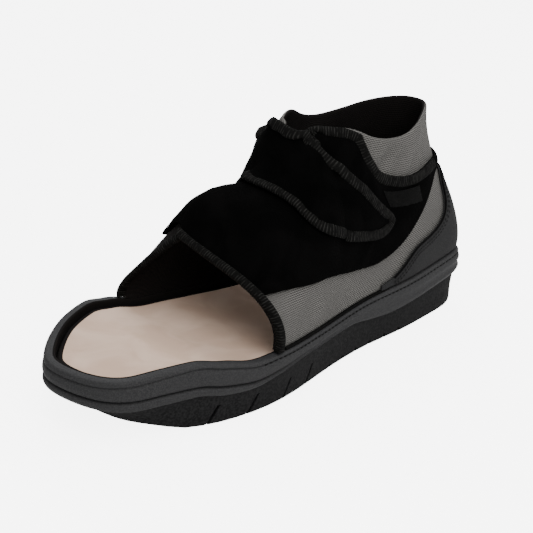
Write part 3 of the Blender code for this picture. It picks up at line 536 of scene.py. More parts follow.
def layerGap(place, over):
    crown = ease(0.50, 0.60, place) * (1 - ease(0.78, 0.86, place)) * (1 - ease(0.55, 0.75, np.abs(over)))
    ridge = ease(0.78, 0.86, place) * (1 - ease(0.93, 0.99, place)) * (1 - ease(0.25, 0.45, np.abs(over)))
    return clothGap + crownGap * crown + ridgeGap * ridge


def strapLift(place, over):
    # The strap lies on the upper inside and climbs over the outer panel.
    overPanel = panelThick + bindingRise + clothGap + fitGap
    return layerGap(place, over) + overPanel * (1 - ease(0.18, 0.50, over))


def flapLift(place, over):
    # The flap's front edge rises over the bound edge of the inner quarter.
    overQuarter = ease(-0.30, -0.05, over) * ease(0.90, 0.97, place)
    return layerGap(place, over) + (bindingRise + fitGap) * overQuarter


def outerBeadLow(over):
    # The bead wraps the quarter's wall, and past the instep only the flap.
    wall = wallThick + bindingRise
    return (wall + flapLift(1, over)) * ease(-0.10, 0.02, over) - wall


def outerBeadHigh(over):
    return flapLift(1, over) + panelThick + bindingRise


def innerBeadLow(over):
    return np.full(len(over), -wallThick - bindingRise)


def innerBeadHigh(over):
    return np.full(len(over), bindingRise)


# Materials
def nodeGroup(name, inputs, outputs):
    group = bpy.data.node_groups.new(name, "ShaderNodeTree")
    for label, kind, value in inputs:
        socket = group.interface.new_socket(label, in_out="INPUT", socket_type=kind)
        if value is not None:
            socket.default_value = value
    for label, kind in outputs:
        group.interface.new_socket(label, in_out="OUTPUT", socket_type=kind)
    start = group.nodes.new("NodeGroupInput")
    end = group.nodes.new("NodeGroupOutput")
    return group, start, end


def feed(tree, socket, value):
    # a socket is linked, a colour gets its alpha, and a number is set
    if isinstance(value, bpy.types.NodeSocket):
        tree.links.new(value, socket)
    elif isinstance(value, tuple) and len(value) == 3:
        socket.default_value = (*value, 1.0)
    else:
        socket.default_value = value


def addNode(tree, kind, settings=None, **values):
    # i0, i1 and so on name an input by its number
    node = tree.nodes.new(kind)
    for key, value in (settings or {}).items():
        setattr(node, key, value)
    for key, value in values.items():
        numbered = key[0] == "i" and key[1:].isdigit()
        feed(tree, node.inputs[int(key[1:]) if numbered else key], value)
    return node


def sums(tree, operation, *values, clamp=False):
    node = addNode(tree, "ShaderNodeMath", {"operation": operation, "use_clamp": clamp})
    for socket, value in zip(node.inputs, values):
        feed(tree, socket, value)
    return node.outputs[0]


def ramp(tree, value, low, high):
    smooth = {"interpolation_type": "SMOOTHSTEP"}
    return addNode(tree, "ShaderNodeMapRange", smooth, i0=value, i1=low, i2=high).outputs[0]


def mixColour(tree, share, first, second):
    mix = addNode(tree, "ShaderNodeMix", {"data_type": "RGBA"}, i0=share, i6=first, i7=second)
    return mix.outputs[2]


def noise(tree, place, **values):
    return addNode(tree, "ShaderNodeTexNoise", Vector=place, **values).outputs["Fac"]


def turnsAlong(tree, distance, pitch):
    # an angle that makes one turn for each pitch, in millimetres, of a distance in metres
    return sums(tree, "DIVIDE", sums(tree, "MULTIPLY", distance, 2000 * math.pi), pitch)


# knitted face: rows run along u and loops across them, in millimetres, with small holes between
knit, start, end = nodeGroup(
    "knittedFace",
    [("Cloth", "NodeSocketVector", None), ("Row", "NodeSocketFloat", 1.2), ("Loop", "NodeSocketFloat", 1.6)],
    [("Height", "NodeSocketFloat"), ("Hole", "NodeSocketFloat")],
)
split = addNode(knit, "ShaderNodeSeparateXYZ", i0=start.outputs["Cloth"])
uTurn = turnsAlong(knit, split.outputs[0], start.outputs["Loop"])
vTurn = turnsAlong(knit, split.outputs[1], start.outputs["Row"])
loops = sums(knit, "SINE", sums(knit, "ADD", uTurn, sums(knit, "MULTIPLY", vTurn, 0.5)))
rowHigh = sums(knit, "MULTIPLY_ADD", sums(knit, "SINE", vTurn), 0.5, 0.5)
loopHigh = sums(knit, "MULTIPLY_ADD", loops, 0.5, 0.5)
high = sums(knit, "ADD", sums(knit, "MULTIPLY", rowHigh, 0.7), sums(knit, "MULTIPLY", loopHigh, 0.3))
feed(knit, end.inputs["Height"], high)
feed(knit, end.inputs["Hole"], ramp(knit, sums(knit, "ADD", rowHigh, loopHigh), 0.55, 0.10))

# fine grain of rubber and coated sheet
grain, start, end = nodeGroup(
    "fineGrain",
    [("Place", "NodeSocketVector", None), ("Fineness", "NodeSocketFloat", 1500.0)],
    [("Height", "NodeSocketFloat"), ("Cloud", "NodeSocketFloat")],
)
fineness = start.outputs["Fineness"]
feed(grain, end.inputs["Height"], noise(grain, start.outputs["Place"], Scale=fineness, Detail=3.0))
cloud = noise(grain, start.outputs["Place"], Scale=38.0, Detail=4.0, Roughness=0.6)
feed(grain, end.inputs["Cloud"], cloud)

# threads that cross a bound edge side by side
threads, start, end = nodeGroup(
    "edgeThreads",
    [("Cloth", "NodeSocketVector", None), ("Pitch", "NodeSocketFloat", 1.7)],
    [("Height", "NodeSocketFloat"), ("Light", "NodeSocketFloat")],
)
split = addNode(threads, "ShaderNodeSeparateXYZ", i0=start.outputs["Cloth"])
along = turnsAlong(threads, split.outputs[0], start.outputs["Pitch"])
lean = sums(threads, "MULTIPLY", split.outputs[1], 700.0)
wave = sums(threads, "SINE", sums(threads, "ADD", along, lean))
feed(threads, end.inputs["Height"], sums(threads, "MULTIPLY_ADD", wave, 0.5, 0.5))
fuzz = ramp(threads, noise(threads, start.outputs["Cloth"], Scale=420.0, Detail=2.0), 0.38, 0.62)
feed(threads, end.inputs["Light"], sums(threads, "MULTIPLY", ramp(threads, wave, 0.1, 0.9), fuzz))

# short nap that lies this way and that, with painted sheen: paler patches where the nap would catch the light
nap, start, end = nodeGroup(
    "shortNap",
    [("Place", "NodeSocketVector", None)],
    [("Height", "NodeSocketFloat"), ("Brush", "NodeSocketFloat")],
)
feed(nap, end.inputs["Height"], noise(nap, start.outputs["Place"], Scale=2600.0, Detail=2.0))
sheenPatch = noise(nap, start.outputs["Place"], Scale=45.0, Detail=3.0, Distortion=0.6)
feed(nap, end.inputs["Brush"], ramp(nap, sheenPatch, 0.35, 0.70))


def newMaterial(name, colour, roughness, specular):
    made = bpy.data.materials.new(name)
    made.use_nodes = True
    tree = made.node_tree
    shader = tree.nodes["Principled BSDF"]
    shader.inputs["Base Color"].default_value = (*colour, 1.0)
    shader.inputs["Roughness"].default_value = roughness
    shader.inputs["Specular IOR Level"].default_value = specular
    return made, tree, shader


def placeOf(tree):
    return addNode(tree, "ShaderNodeTexCoord").outputs["Object"]


def clothOf(tree):
    return addNode(tree, "ShaderNodeUVMap", {"uv_map": "cloth"}).outputs["UV"]


def bumpFrom(tree, shader, height, strength, distance):
    bump = addNode(tree, "ShaderNodeBump", Strength=strength, Distance=distance, Height=height)
    tree.links.new(bump.outputs["Normal"], shader.inputs["Normal"])


def placeGroup(tree, group, **values):
    return addNode(tree, "ShaderNodeGroup", {"node_tree": group}, **values)


def knitMaterial(name, look):
    made, tree, shader = newMaterial(name, look["colour"], look["rough"], look["specular"])
    shader.inputs["Sheen Weight"].default_value = look["sheen"]
    shader.inputs["Sheen Tint"].default_value = (0.8, 0.8, 0.78, 1.0)
    face = placeGroup(tree, knit, Cloth=clothOf(tree), Row=look["row"], Loop=look["loop"])
    grit = placeGroup(tree, grain, Place=placeOf(tree), Fineness=900.0)
    shade = sums(tree, "MULTIPLY_ADD", face.outputs["Height"], look["contrast"], -look["contrast"] / 2)
    speck = sums(tree, "MULTIPLY_ADD", grit.outputs["Height"], 0.5, 0.25)
    shade = sums(tree, "ADD", speck, shade, clamp=True)
    tint = mixColour(tree, shade, look["dark"], look["light"])
    tint = mixColour(tree, sums(tree, "MULTIPLY", face.outputs["Hole"], look["holes"]), tint, look["hole"])
    tint = mixColour(tree, ramp(tree, grit.outputs["Cloud"], 0.30, 0.75), tint, look["colour"])
    tree.links.new(tint, shader.inputs["Base Color"])
    height = sums(tree, "SUBTRACT", face.outputs["Height"], sums(tree, "MULTIPLY", face.outputs["Hole"], 0.7))
    height = sums(tree, "ADD", height, sums(tree, "MULTIPLY", grit.outputs["Height"], 0.35))
    bumpFrom(tree, shader, height, look["bump"], 0.0004)
    return made


greyMesh = knitMaterial(
    "greyMesh",
    {
        "colour": (0.090, 0.087, 0.083), "dark": (0.033, 0.031, 0.029), "light": (0.168, 0.163, 0.155),
        "hole": (0.014, 0.013, 0.012), "holes": 0.55, "contrast": 1.3, "rough": 0.95, "specular": 0.08,
        "sheen": 0.02, "row": 1.25, "loop": 1.90, "bump": 0.60,
    },
)
blackLining = knitMaterial(
    "blackLining",
    {
        "colour": (0.0060, 0.0052, 0.0050), "dark": (0.0030, 0.0026, 0.0025),
        "light": (0.011, 0.0095, 0.0090), "hole": (0.0015, 0.0015, 0.0015), "holes": 0.6,
        "contrast": 0.7, "rough": 0.97, "specular": 0.08, "sheen": 0.0, "row": 1.3, "loop": 1.5, "bump": 0.35,
    },
)


def rubberMaterial(name, look):
    made, tree, shader = newMaterial(name, look["colour"], look["rough"], look["specular"])
    grit = placeGroup(tree, grain, Place=placeOf(tree), Fineness=look["fineness"])
    speckle = ramp(tree, grit.outputs["Height"], 0.36, 0.66)
    tint = mixColour(tree, speckle, look["dark"], look["light"])
    wear = sums(tree, "MULTIPLY", ramp(tree, grit.outputs["Cloud"], 0.45, 0.75), 0.45)
    tint = mixColour(tree, wear, tint, look["worn"])
    tree.links.new(tint, shader.inputs["Base Color"])
    rough = sums(tree, "MULTIPLY_ADD", grit.outputs["Cloud"], 0.22, look["rough"] - 0.11)
    tree.links.new(rough, shader.inputs["Roughness"])
    bumpFrom(tree, shader, grit.outputs["Height"], look["bump"], 0.0003)
    return made


soleRubber = rubberMaterial(
    "soleRubber",
    {
        "colour": (0.0095, 0.0095, 0.0098), "dark": (0.0055, 0.0055, 0.0058),
        "light": (0.0155, 0.0155, 0.0160), "worn": (0.0135, 0.0135, 0.0138),
        "rough": 0.80, "specular": 0.10, "fineness": 780.0, "bump": 0.50,
    },
)
midsoleFoam = rubberMaterial(
    "midsoleFoam",
    {
        "colour": (0.028, 0.028, 0.029), "dark": (0.020, 0.020, 0.021), "light": (0.035, 0.035, 0.036),
        "worn": (0.031, 0.031, 0.032), "rough": 0.66, "specular": 0.14, "fineness": 1500.0, "bump": 0.16,
    },
)
counterSheet = rubberMaterial(
    "counterSheet",
    {
        "colour": (0.0170, 0.0170, 0.0175), "dark": (0.0120, 0.0120, 0.0125),
        "light": (0.0225, 0.0225, 0.0230), "worn": (0.0200, 0.0200, 0.0205),
        "rough": 0.74, "specular": 0.10, "fineness": 1900.0, "bump": 0.22,
    },
)


def napMaterial(name, colour, sheenColour, bump):
    made, tree, shader = newMaterial(name, colour, 0.98, 0.02)
    pileNode = placeGroup(tree, nap, Place=placeOf(tree))
    # the base colour is mixed in patches with a paler colour, a painted sheen
    tree.links.new(mixColour(tree, pileNode.outputs["Brush"], colour, sheenColour), shader.inputs["Base Color"])
    bumpFrom(tree, shader, pileNode.outputs["Height"], bump, 0.0003)
    return made


# the second colour of each nap is its painted sheen
blackVelour = napMaterial("blackVelour", (0.0009, 0.0009, 0.0009), (0.0020, 0.0019, 0.0019), 0.35)
tanFootbed = napMaterial("tanFootbed", (0.52, 0.375, 0.290), (0.60, 0.450, 0.360), 0.30)


def threadMaterial(name, colour, light, pitch):
    made, tree, shader = newMaterial(name, colour, 0.92, 0.06)
    rib = placeGroup(tree, threads, Cloth=clothOf(tree), Pitch=pitch)
    tree.links.new(mixColour(tree, rib.outputs["Light"], colour, light), shader.inputs["Base Color"])
    bumpFrom(tree, shader, rib.outputs["Height"], 0.6, 0.0005)
    return made


boundEdge = threadMaterial("boundEdge", (0.0034, 0.0033, 0.0031), (0.0185, 0.0182, 0.0172), 1.55)
plainTape = threadMaterial("plainTape", (0.0026, 0.0026, 0.0025), (0.0060, 0.0060, 0.0057), 0.9)
stitchThread, tree, shader = newMaterial("stitchThread", (0.0060, 0.0060, 0.0060), 0.80, 0.12)
twist = placeGroup(tree, grain, Place=placeOf(tree), Fineness=3000.0)
shine = mixColour(tree, twist.outputs["Height"], (0.004, 0.004, 0.004), (0.012, 0.012, 0.012))
tree.links.new(shine, shader.inputs["Base Color"])
bumpFrom(tree, shader, twist.outputs["Height"], 0.4, 0.0002)

floorPaint, tree, shader = newMaterial("floorPaint", (0.92, 0.92, 0.92), 0.60, 0.2)
tone = noise(tree, placeOf(tree), Scale=3.0, Detail=2.0)
paint = mixColour(tree, tone, (0.915, 0.915, 0.915), (0.93, 0.93, 0.93))
tree.links.new(paint, shader.inputs["Base Color"])
seen = addNode(tree, "ShaderNodeLightPath").outputs["Is Camera Ray"]
tree.links.new(sums(tree, "MULTIPLY", seen, 5.5), shader.inputs["Emission Strength"])
shader.inputs["Emission Color"].default_value = (1.0, 1.0, 1.0, 1.0)
floor.data.materials.append(floorPaint)
print("stage: materials mixed")


# Mesh helpers
def newPiece(name, points, faces, materials, uv=None, faceSlots=None, crease=50):
    mesh = bpy.data.meshes.new(name)
    mesh.from_pydata([tuple(map(float, p)) for p in points], [], faces)
    if uv is not None:
        layer = mesh.uv_layers.new(name="cloth")
        corners = np.zeros(len(mesh.loops), int)
        mesh.loops.foreach_get("vertex_index", corners)
        layer.data.foreach_set("uv", np.asarray(uv, np.float32)[corners].ravel())
    for one in materials:
        mesh.materials.append(one)
    if faceSlots is not None:
        mesh.polygons.foreach_set("material_index", np.asarray(faceSlots, np.int32))
    made = bpy.data.objects.new(name, mesh)
    bpy.context.scene.collection.objects.link(made)
    form = bmesh.new()
    form.from_mesh(mesh)
    bmesh.ops.recalc_face_normals(form, faces=form.faces)
    form.to_mesh(mesh)
    form.free()
    mesh.shade_smooth()
    mesh.set_sharp_from_angle(angle=math.radians(crease))
    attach(made, "root")
    return made


def gridFaces(rows, columns, closeRows=False):
    # the faces between closed rings of points, and between the last ring and the first
    faces = []
    for r in range(rows if closeRows else rows - 1):
        here, over = r * columns, (r + 1) % rows * columns
        for c in range(columns):
            d = (c + 1) % columns
            faces.append((here + c, here + d, over + d, over + c))
    return faces


def tubeFaces(rows, sides, closed=False):
    faces = gridFaces(rows, sides, closed)
    if not closed:
        faces += [tuple(range(sides)), tuple(range((rows - 1) * sides, rows * sides))]
    return faces


def tubeCloth(length, sides, around=0.011):
    # u runs along the tube and v once round it, in metres
    return np.stack([np.repeat(length, sides), np.tile(np.arange(sides) / sides * around, len(length))], -1)


def roundedBox(sides, boxy):
    # the corners of a tape's section, half a width and half a height from its middle
    for k in range(sides):
        angle = 2 * math.pi * k / sides
        across, up = math.cos(angle), math.sin(angle)
        yield angle, math.copysign(abs(across) ** boxy, across) / 2, math.copysign(abs(up) ** boxy, up) / 2


# soft creases of the upper: from one spot to another, by place and over, width and depth in metres
creases = [
    (0.530, -0.215, 0.455, -0.060, 0.0038, -0.0019),
    (0.545, -0.165, 0.500, -0.030, 0.0030, 0.0011),
    (0.480, -0.240, 0.400, -0.090, 0.0044, -0.0017),
    (0.430, -0.240, 0.350, -0.120, 0.0042, 0.0011),
    (0.380, -0.255, 0.330, -0.150, 0.0036, -0.0014),
    (0.300, -0.300, 0.245, -0.120, 0.0055, -0.0012),
    (0.180, -0.360, 0.140, -0.150, 0.0050, 0.0006),
    (0.900, -0.880, 0.780, -0.800, 0.0060, -0.0007),
    (0.820, -0.900, 0.640, -0.840, 0.0070, 0.0006),
    (0.530, 0.215, 0.455, 0.060, 0.0042, -0.0010),
    (0.420, 0.240, 0.350, 0.100, 0.0050, 0.0008),
    (0.300, 0.300, 0.245, 0.120, 0.0060, -0.0008),
    (0.960, 0.700, 0.860, 0.600, 0.0070, -0.0008),
    (0.900, 0.820, 0.800, 0.760, 0.0070, 0.0007),
    (0.985, 0.350, 0.900, 0.450, 0.0060, -0.0006),
]


def creaseLift(side, place, way):
    here = lastPoint(side, place, way)
    over = np.where(side > 0, way - 1, 1 - way)
    lift = np.zeros(np.shape(here)[:-1])
    for fromPlace, fromOver, toPlace, toOver, width, depth in creases:
        start = lastPoint(*acrossInstep(np.array(fromPlace), np.array(fromOver)))
        line = lastPoint(*acrossInstep(np.array(toPlace), np.array(toOver))) - start
        share = np.clip(((here - start) @ line) / (line @ line), 0, 1)
        gap = np.linalg.norm(here - start - share[..., None] * line, axis=-1)
        fade = 0.35 + 0.65 * np.sin(math.pi * share)
        lift += depth * np.exp(-((gap / width) ** 2)) * fade * (over * fromOver > 0)
    return lift


# Upper: one shell of spacer mesh with a black lining
upperLook = {"columns": 92, "rows": 46, "rim": 5, "blackFrom": 0.90, "blackUp": 0.55}


def makeUpper():
    places = np.linspace(0, 1, upperLook["columns"] + 1)
    turns = np.concatenate([places[:0:-1], -places])
    side, place = roundHeel(turns, turns)[:2]
    keys = tableColumn(throatRows, "place")
    ends = [levelCurve(keys, tableColumn(throatRows, name), place) for name in ("outer", "inner")]
    ends = np.where(side > 0, *ends)
    ways = np.linspace(0, 1, upperLook["rows"] + 1)
    arcs = np.linspace(0, math.pi, upperLook["rim"] + 2)[1:-1]
    wayRows = np.concatenate([ways, np.ones(len(arcs)), ways[::-1]])
    lifts = np.concatenate([0 * ways, wallThick / 2 * (np.cos(arcs) - 1), 0 * ways - wallThick])
    raised = np.concatenate([0 * ways, wallThick / 2 * np.sin(arcs), 0 * ways])
    way = ends[:, None] * wayRows[None]
    lift = lifts[None] + creaseLift(side[:, None], place[:, None], way)
    side, place = side[:, None], place[:, None]
    points = lastPoint(side, place, way) + lastNormal(side, place, np.maximum(way, 0.01)) * lift[..., None]
    up = unit(lastPoint(side, place, ends[:, None]) - lastPoint(side, place, ends[:, None] - 0.02))
    points += up * raised[None, :, None]
    foot = insetOutline(footAngle(side[:, 0], place[:, 0]), np.full(len(turns), rimWidth + wallThick))
    points[:, -1] = np.column_stack([foot, rimHeight(foot[:, 1]) + fitGap])
    count = points.shape[1]
    faces = gridFaces(len(turns), count)
    outerRows = len(ways) + len(arcs) // 2
    slots = []
    for k in range(len(faces)):
        column, row = divmod(k, count)
        tip = turns[column] < -upperLook["blackFrom"] and row > upperLook["rows"] * upperLook["blackUp"]
        slots.append(int(row >= outerRows or tip))  # the lining, and the inner quarter's black tip
    for base in (0, (len(turns) - 1) * count):
        for r in range(count // 2 - 1):
            faces.append((base + r, base + r + 1, base + count - 2 - r, base + count - 1 - r))
            slots.append(0)
    u = runLength(points[:, upperLook["rows"] // 2])
    v = np.array([runLength(column) for column in points])
    uv = np.stack([np.broadcast_to(u[:, None], v.shape), v], -1).reshape(-1, 2)
    shell = newPiece("upperShell", points.reshape(-1, 3), faces, [greyMesh, blackLining], uv, slots)
    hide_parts("upper")


makeUpper()
print("stage: upper cut and sewn")


# Sheets that lie over the last
def sheetPiece(name, chart, spots, lift, look, material, slot, node):
    edge = evenOutline(chart, spots, look["edgeStep"])
    lines = [edge, stepInside(chart, edge, look["edgeStep"] * 0.6)]
    core = lines[-1]
    low, high = core.min(0), core.max(0)
    cell = look["fieldStep"] / np.array(chartScale)
    field = []
    for i, a in enumerate(np.arange(low[0], high[0], cell[0])):
        field += [(a, b) for b in np.arange(low[1] + (i % 2) * cell[1] / 2, high[1], cell[1])]
    field = np.array(field)
    field = field[inside(field, core)]
    space = np.linalg.norm((field[:, None] - core[None]) * chartScale, axis=2).min(1)
    field = field[space > look["fieldStep"] / 2]
    flat = np.concatenate([*lines, field])
    links = []
    first = 0
    for line in lines:
        links += [(first + k, first + (k + 1) % len(line)) for k in range(len(line))]
        first += len(line)
    scaled = [Vector(p) for p in (flat * chartScale).tolist()]
    spread = delaunay_2d_cdt(scaled, links, [], 1, 1e-7)
    flat = flat[[source[0] for source in spread[3]]]
    spot = chart(flat[:, 0], flat[:, 1])
    here = lastPoint(*spot)
    rim = lastPoint(*chart(edge[:, 0], edge[:, 1]))
    depth = np.linalg.norm(here[:, None] - rim[None], axis=2).min(1)
    rise = look["thick"] * (1 - 0.45 * np.exp(-((depth / look["edgeStep"]) ** 2) * 4))
    rise = rise + look["puff"] * ease(look["dip"], look["dip"] + 0.007, depth)
    rise = rise - look["furrow"] * np.exp(-(((depth - look["dip"]) / 0.0009) ** 2))
    base = lift(flat[:, 0], flat[:, 1]) + look["creased"] * creaseLift(*spot)
    bottom = offsetLast(*spot, base)
    top = offsetLast(*spot, base + rise)
    count = len(flat)
    faces = [tuple(f) for f in spread[2]]
    sides = {(a, b) for face in faces for a, b in zip(face, face[1:] + face[:1])}
    walls = [(a, b, b + count, a + count) for a, b in sides if (b, a) not in sides]
    lower = [tuple(reversed(f)) for f in faces]
    raised = [tuple(k + count for k in f) for f in faces]
    uv = np.concatenate([flat, flat]) * chartScale
    made = newPiece(name, np.concatenate([bottom, top]), lower + raised + walls, [material], uv, crease=60)
    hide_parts(node)


# an edge tape that wraps a sheet's edge, its threads side by side
def edgeTape(name, chart, spots, lift, look, material, slot, keep=None):
    edge = evenOutline(chart, spots, look["step"])
    closed = keep is None
    if not closed:
        kept = keep(edge)
        first = int(np.flatnonzero(kept & ~np.roll(kept, 1))[0])
        edge = np.roll(edge, -first, 0)
        edge = edge[: int(np.flatnonzero(~np.roll(kept, -first))[0])]
    spot = chart(edge[:, 0], edge[:, 1])
    here = lastPoint(*spot)
    normal = lastNormal(*spot)
    run = np.roll(here, -1, 0) - np.roll(here, 1, 0)
    if not closed:
        run[0], run[-1] = here[1] - here[0], here[-1] - here[-2]
    for _ in range(3):
        blurred = run + np.roll(run, 1, 0) + np.roll(run, -1, 0)
        run = blurred if closed else np.concatenate([run[:1], blurred[1:-1], run[-1:]])
    turning = np.sign(np.cross(edge * chartScale, np.roll(edge * chartScale, -1, 0)).sum())
    inward = unit(np.cross(np.cross(*chartSlopes(chart, edge, here)), unit(run)) * turning)
    room = roomInside(here, bindingWidth)
    roomy = ease(*look["tight"], room)
    wide = look["width"] * roomy + np.minimum(look["width"], room * look["narrowed"]) * (1 - roomy)
    base = lift(edge[:, 0], edge[:, 1])
    low, high = base - look["under"], base + look["thick"] + look["over"]
    centre = here + inward * (wide * look["inside"])[:, None] + normal * ((low + high) / 2)[:, None]
    length = runLength(here)
    points = []
    for angle, reach, tall in roundedBox(look["sides"], look["boxy"]):
        ripple = 1 + look["ripple"] * np.sin(2 * math.pi * length / look["pitch"] + angle)
        aside = inward * (wide * reach * ripple)[:, None]
        points.append(centre + aside + normal * ((high - low) * tall * ripple)[:, None])
    points = np.stack(points, 1).reshape(-1, 3)
    faces = tubeFaces(len(edge), look["sides"], closed)
    made = newPiece(name, points, faces, [material], tubeCloth(length, look["sides"]), crease=80)


velourLook = {
    "edgeStep": 0.0030, "fieldStep": 0.0034, "thick": panelThick, "puff": 0.0006, "dip": 0.0052,
    "furrow": 0.0004, "creased": 0.5,
}
tapeLook = {
    "step": 0.0006, "width": 0.0066, "under": 0.0003, "thick": panelThick, "over": 0.0007,
    "sides": 12, "boxy": 0.75, "ripple": 0.022, "pitch": 0.00155,
    "tight": (0.0022, 0.0032), "narrowed": 1.45, "inside": 0.44,
}


def collarEdge(edge):
    # the outer panel's tape shows along the collar alone
    return (edge[:, 1] > -0.33) & (edge[:, 0] > 0.20) & (edge[:, 0] < 0.78)


outerFit = acrossInstep, outerPanelSpots, flapLift
sheetPiece("outerVelour", *outerFit, velourLook, blackVelour, "velour", "outer_panel")
edgeTape("outerVelourTape", *outerFit, tapeLook, boundEdge, "binding", collarEdge)
strapFit = acrossInstep, ankleStrapSpots, strapLift
sheetPiece("strapVelour", *strapFit, velourLook, blackVelour, "velour", "ankle_strap")
edgeTape("strapTape", *strapFit, tapeLook, boundEdge, "binding")
print("stage: velour panels bound")


# Heel counter with its piped top line
counterLook = {
    "edgeStep": 0.0030, "fieldStep": 0.0036, "thick": counterThick, "puff": 0.0001, "dip": 0.0040,
    "furrow": 0.0001, "creased": 0.0,
}
counterTrim = {
    "pitch": 0.0024, "stitch": 0.0019, "seams": (0.0030, 0.0052), "seamLift": 0.0016,
    "pipeInset": 0.0003, "pipeLift": 0.0012, "pipeRadius": 0.0006,
}


def counterOutline():
    line = [(s.place, s.over) for s in counterSpots]
    top = [Spot(-p, w) for p, w in reversed(line[1:])] + [Spot(p, w) for p, w in line]
    end = counterSpots[-1].place
    feet = [Spot(p, counterFoot) for p in np.linspace(end, -end, 9)]
    for spots in (top, feet):
        spots[0] = spots[0]._replace(sharp=True)
        spots[-1] = spots[-1]._replace(sharp=True)
    return top + feet


def counterLift(turn, way):
    return np.full(np.shape(turn), clothGap)


heelFit = roundHeel, counterOutline(), counterLift
sheetPiece("heelCounter", *heelFit, counterLook, counterSheet, "counter", "heel_counter")


# round piping or a row of stitches along a line of the last
def linePoints(chart, spots, step):
    through = np.array([(s.place, s.over) for s in spots])
    keys = runLength(through * chartScale)
    fine = np.linspace(0, keys[-1], 400)
    curve = np.column_stack([fairCurve(keys, through[:, k], fine) for k in (0, 1)])
    solid = runLength(lastPoint(*chart(curve[:, 0], curve[:, 1])))
    at = np.arange(0, solid[-1], step)
    return np.column_stack([np.interp(at, solid, curve[:, k]) for k in (0, 1)])


def pipingAlong(name, points, normals, radius, material, slot, sides=8):
    across = np.cross(normals, unit(np.gradient(points, axis=0)))
    turns = [2 * math.pi * k / sides for k in range(sides)]
    rings = [points + across * math.cos(t) * radius + normals * math.sin(t) * radius for t in turns]
    rings = np.stack(rings, 1).reshape(-1, 3)
    uv = tubeCloth(runLength(points), sides, 2 * math.pi * radius)
    made = newPiece(name, rings, tubeFaces(len(points), sides), [material], uv)


def oneStitch():
    bpy.ops.object.select_all(action="DESELECT")
    bpy.ops.mesh.primitive_uv_sphere_add(segments=8, ring_count=6, radius=0.5)
    bead = bpy.context.object
    bpy.ops.object.mode_set(mode="EDIT")
    bpy.ops.mesh.select_all(action="SELECT")
    bpy.ops.transform.resize(value=(1.0, 0.34, 0.26))
    bpy.ops.object.mode_set(mode="OBJECT")
    corners = np.array([v.co for v in bead.data.vertices])
    faces = []
    for polygon in bead.data.polygons:
        around = list(polygon.vertices)
        first = around.index(min(around))
        faces.append(tuple(around[first:] + around[:first]))
    bpy.data.objects.remove(bead, do_unlink=True)
    return corners, sorted(faces)  # the primitive's faces come in another order each run


stitchCorners, stitchFaces = oneStitch()


def stitchRow(name, rows, length, material):
    points, faces = [], []
    for here, normal, run in rows:
        across = np.cross(normal, run)
        for k in range(len(here)):
            first = len(points) * len(stitchCorners)
            turnTo = np.column_stack([run[k], across[k], normal[k]])
            points.append(here[k] + (stitchCorners * length) @ turnTo.T)
            faces += [tuple(first + v for v in face) for face in stitchFaces]
    made = newPiece(name, np.concatenate(points), faces, [material])


def squareTo(here, normal):
    # a line with its normals, turned square to the way that it runs
    run = unit(np.gradient(here, axis=0))
    return here, unit(normal - run * (normal * run).sum(1, keepdims=True)), run


def seamOn(chart, line, lift):
    spot = chart(line[:, 0], line[:, 1])
    here = offsetLast(*spot, np.full(len(line), lift))
    return squareTo(here, lastNormal(*spot))


def counterTop(inset):
    mirrored = [Spot(-s.place, s.over) for s in reversed(counterSpots[1:])]
    spots = mirrored + counterSpots
    line = linePoints(roundHeel, spots[1:-1], counterTrim["pitch"])
    here = lastPoint(*roundHeel(line[:, 0], line[:, 1]))
    down = np.cross(np.gradient(here, axis=0), lastNormal(*roundHeel(line[:, 0], line[:, 1])))
    down *= -np.sign(down[len(down) // 2, 2])
    return slideOver(line, chartSlopes(roundHeel, line, here), unit(down) * inset)


pipeLine = seamOn(roundHeel, counterTop(counterTrim["pipeInset"]), clothGap + counterTrim["pipeLift"])
pipingAlong("counterPiping", *pipeLine[:2], counterTrim["pipeRadius"], plainTape, "binding")
seams = [
    seamOn(roundHeel, counterTop(inset), clothGap + counterTrim["seamLift"]) for inset in counterTrim["seams"]
]
stitchRow("counterStitches", seams, counterTrim["stitch"], stitchThread)
print("stage: heel counter sewn")


# Bound front edges of the quarters
def frontBead(name, node, side, overs, low, high, look):
    over = np.linspace(*overs, look["steps"])
    spot = acrossInstep(np.ones(look["steps"]), over)
    middle = lastPoint(*spot)
    normal = lastNormal(*spot)
    across = np.cross(normal, unit(np.gradient(middle, axis=0))) * side
    bottom, top = low(over), high(over)
    centre = middle + across * (look["width"] / 2 - look["lap"]) + normal * ((bottom + top) / 2)[:, None]
    points = [
        centre + across * reach * look["width"] + normal * (tall * (top - bottom))[:, None]
        for _, reach, tall in roundedBox(look["sides"], look["boxy"])
    ]
    points = np.stack(points, 1).reshape(-1, 3)
    points[:, 2] = np.maximum(points[:, 2], rimHeight(points[:, 1]) + fitGap / 2)
    uv = tubeCloth(runLength(middle), look["sides"])
    made = newPiece(name, points, tubeFaces(len(over), look["sides"]), [boundEdge], uv, crease=80)
    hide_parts(node)


beadLook = {"steps": 150, "sides": 14, "boxy": 0.7, "width": 0.0052, "lap": 0.0006}
frontBead("outerFrontEdge", "outer_binding", 1, (-0.985, 0.09), outerBeadLow, outerBeadHigh, beadLook)
frontBead("innerFrontEdge", "inner_binding", -1, (0.985, 0.05), innerBeadLow, innerBeadHigh, beadLook)


# Black piping along the upper's foot, from the counter to the front edge
def footPiping(name, side, look):
    place = np.linspace(look["from"], look["to"], look["steps"])
    way = np.full(len(place), 0.02)
    normal = lastNormal(side, place, way)
    here = lastPoint(side, place, way) + normal * look["proud"]
    here[:, 2] = rimHeight(here[:, 1]) + look["radius"]
    pipingAlong(name, here, normal, look["radius"], plainTape, "binding")


pipingLook = {"from": 0.49, "to": 0.985, "steps": 170, "proud": 0.0007, "radius": 0.0011}
footPiping("outerFootPiping", 1, pipingLook)
footPiping("innerFootPiping", -1, pipingLook)


# Bare woven label
labelLook = {
    "edgeStep": 0.0015, "fieldStep": 0.0022, "thick": labelThick, "puff": 0.0, "dip": 0.0012,
    "furrow": 0.0001, "creased": 0.5,
}


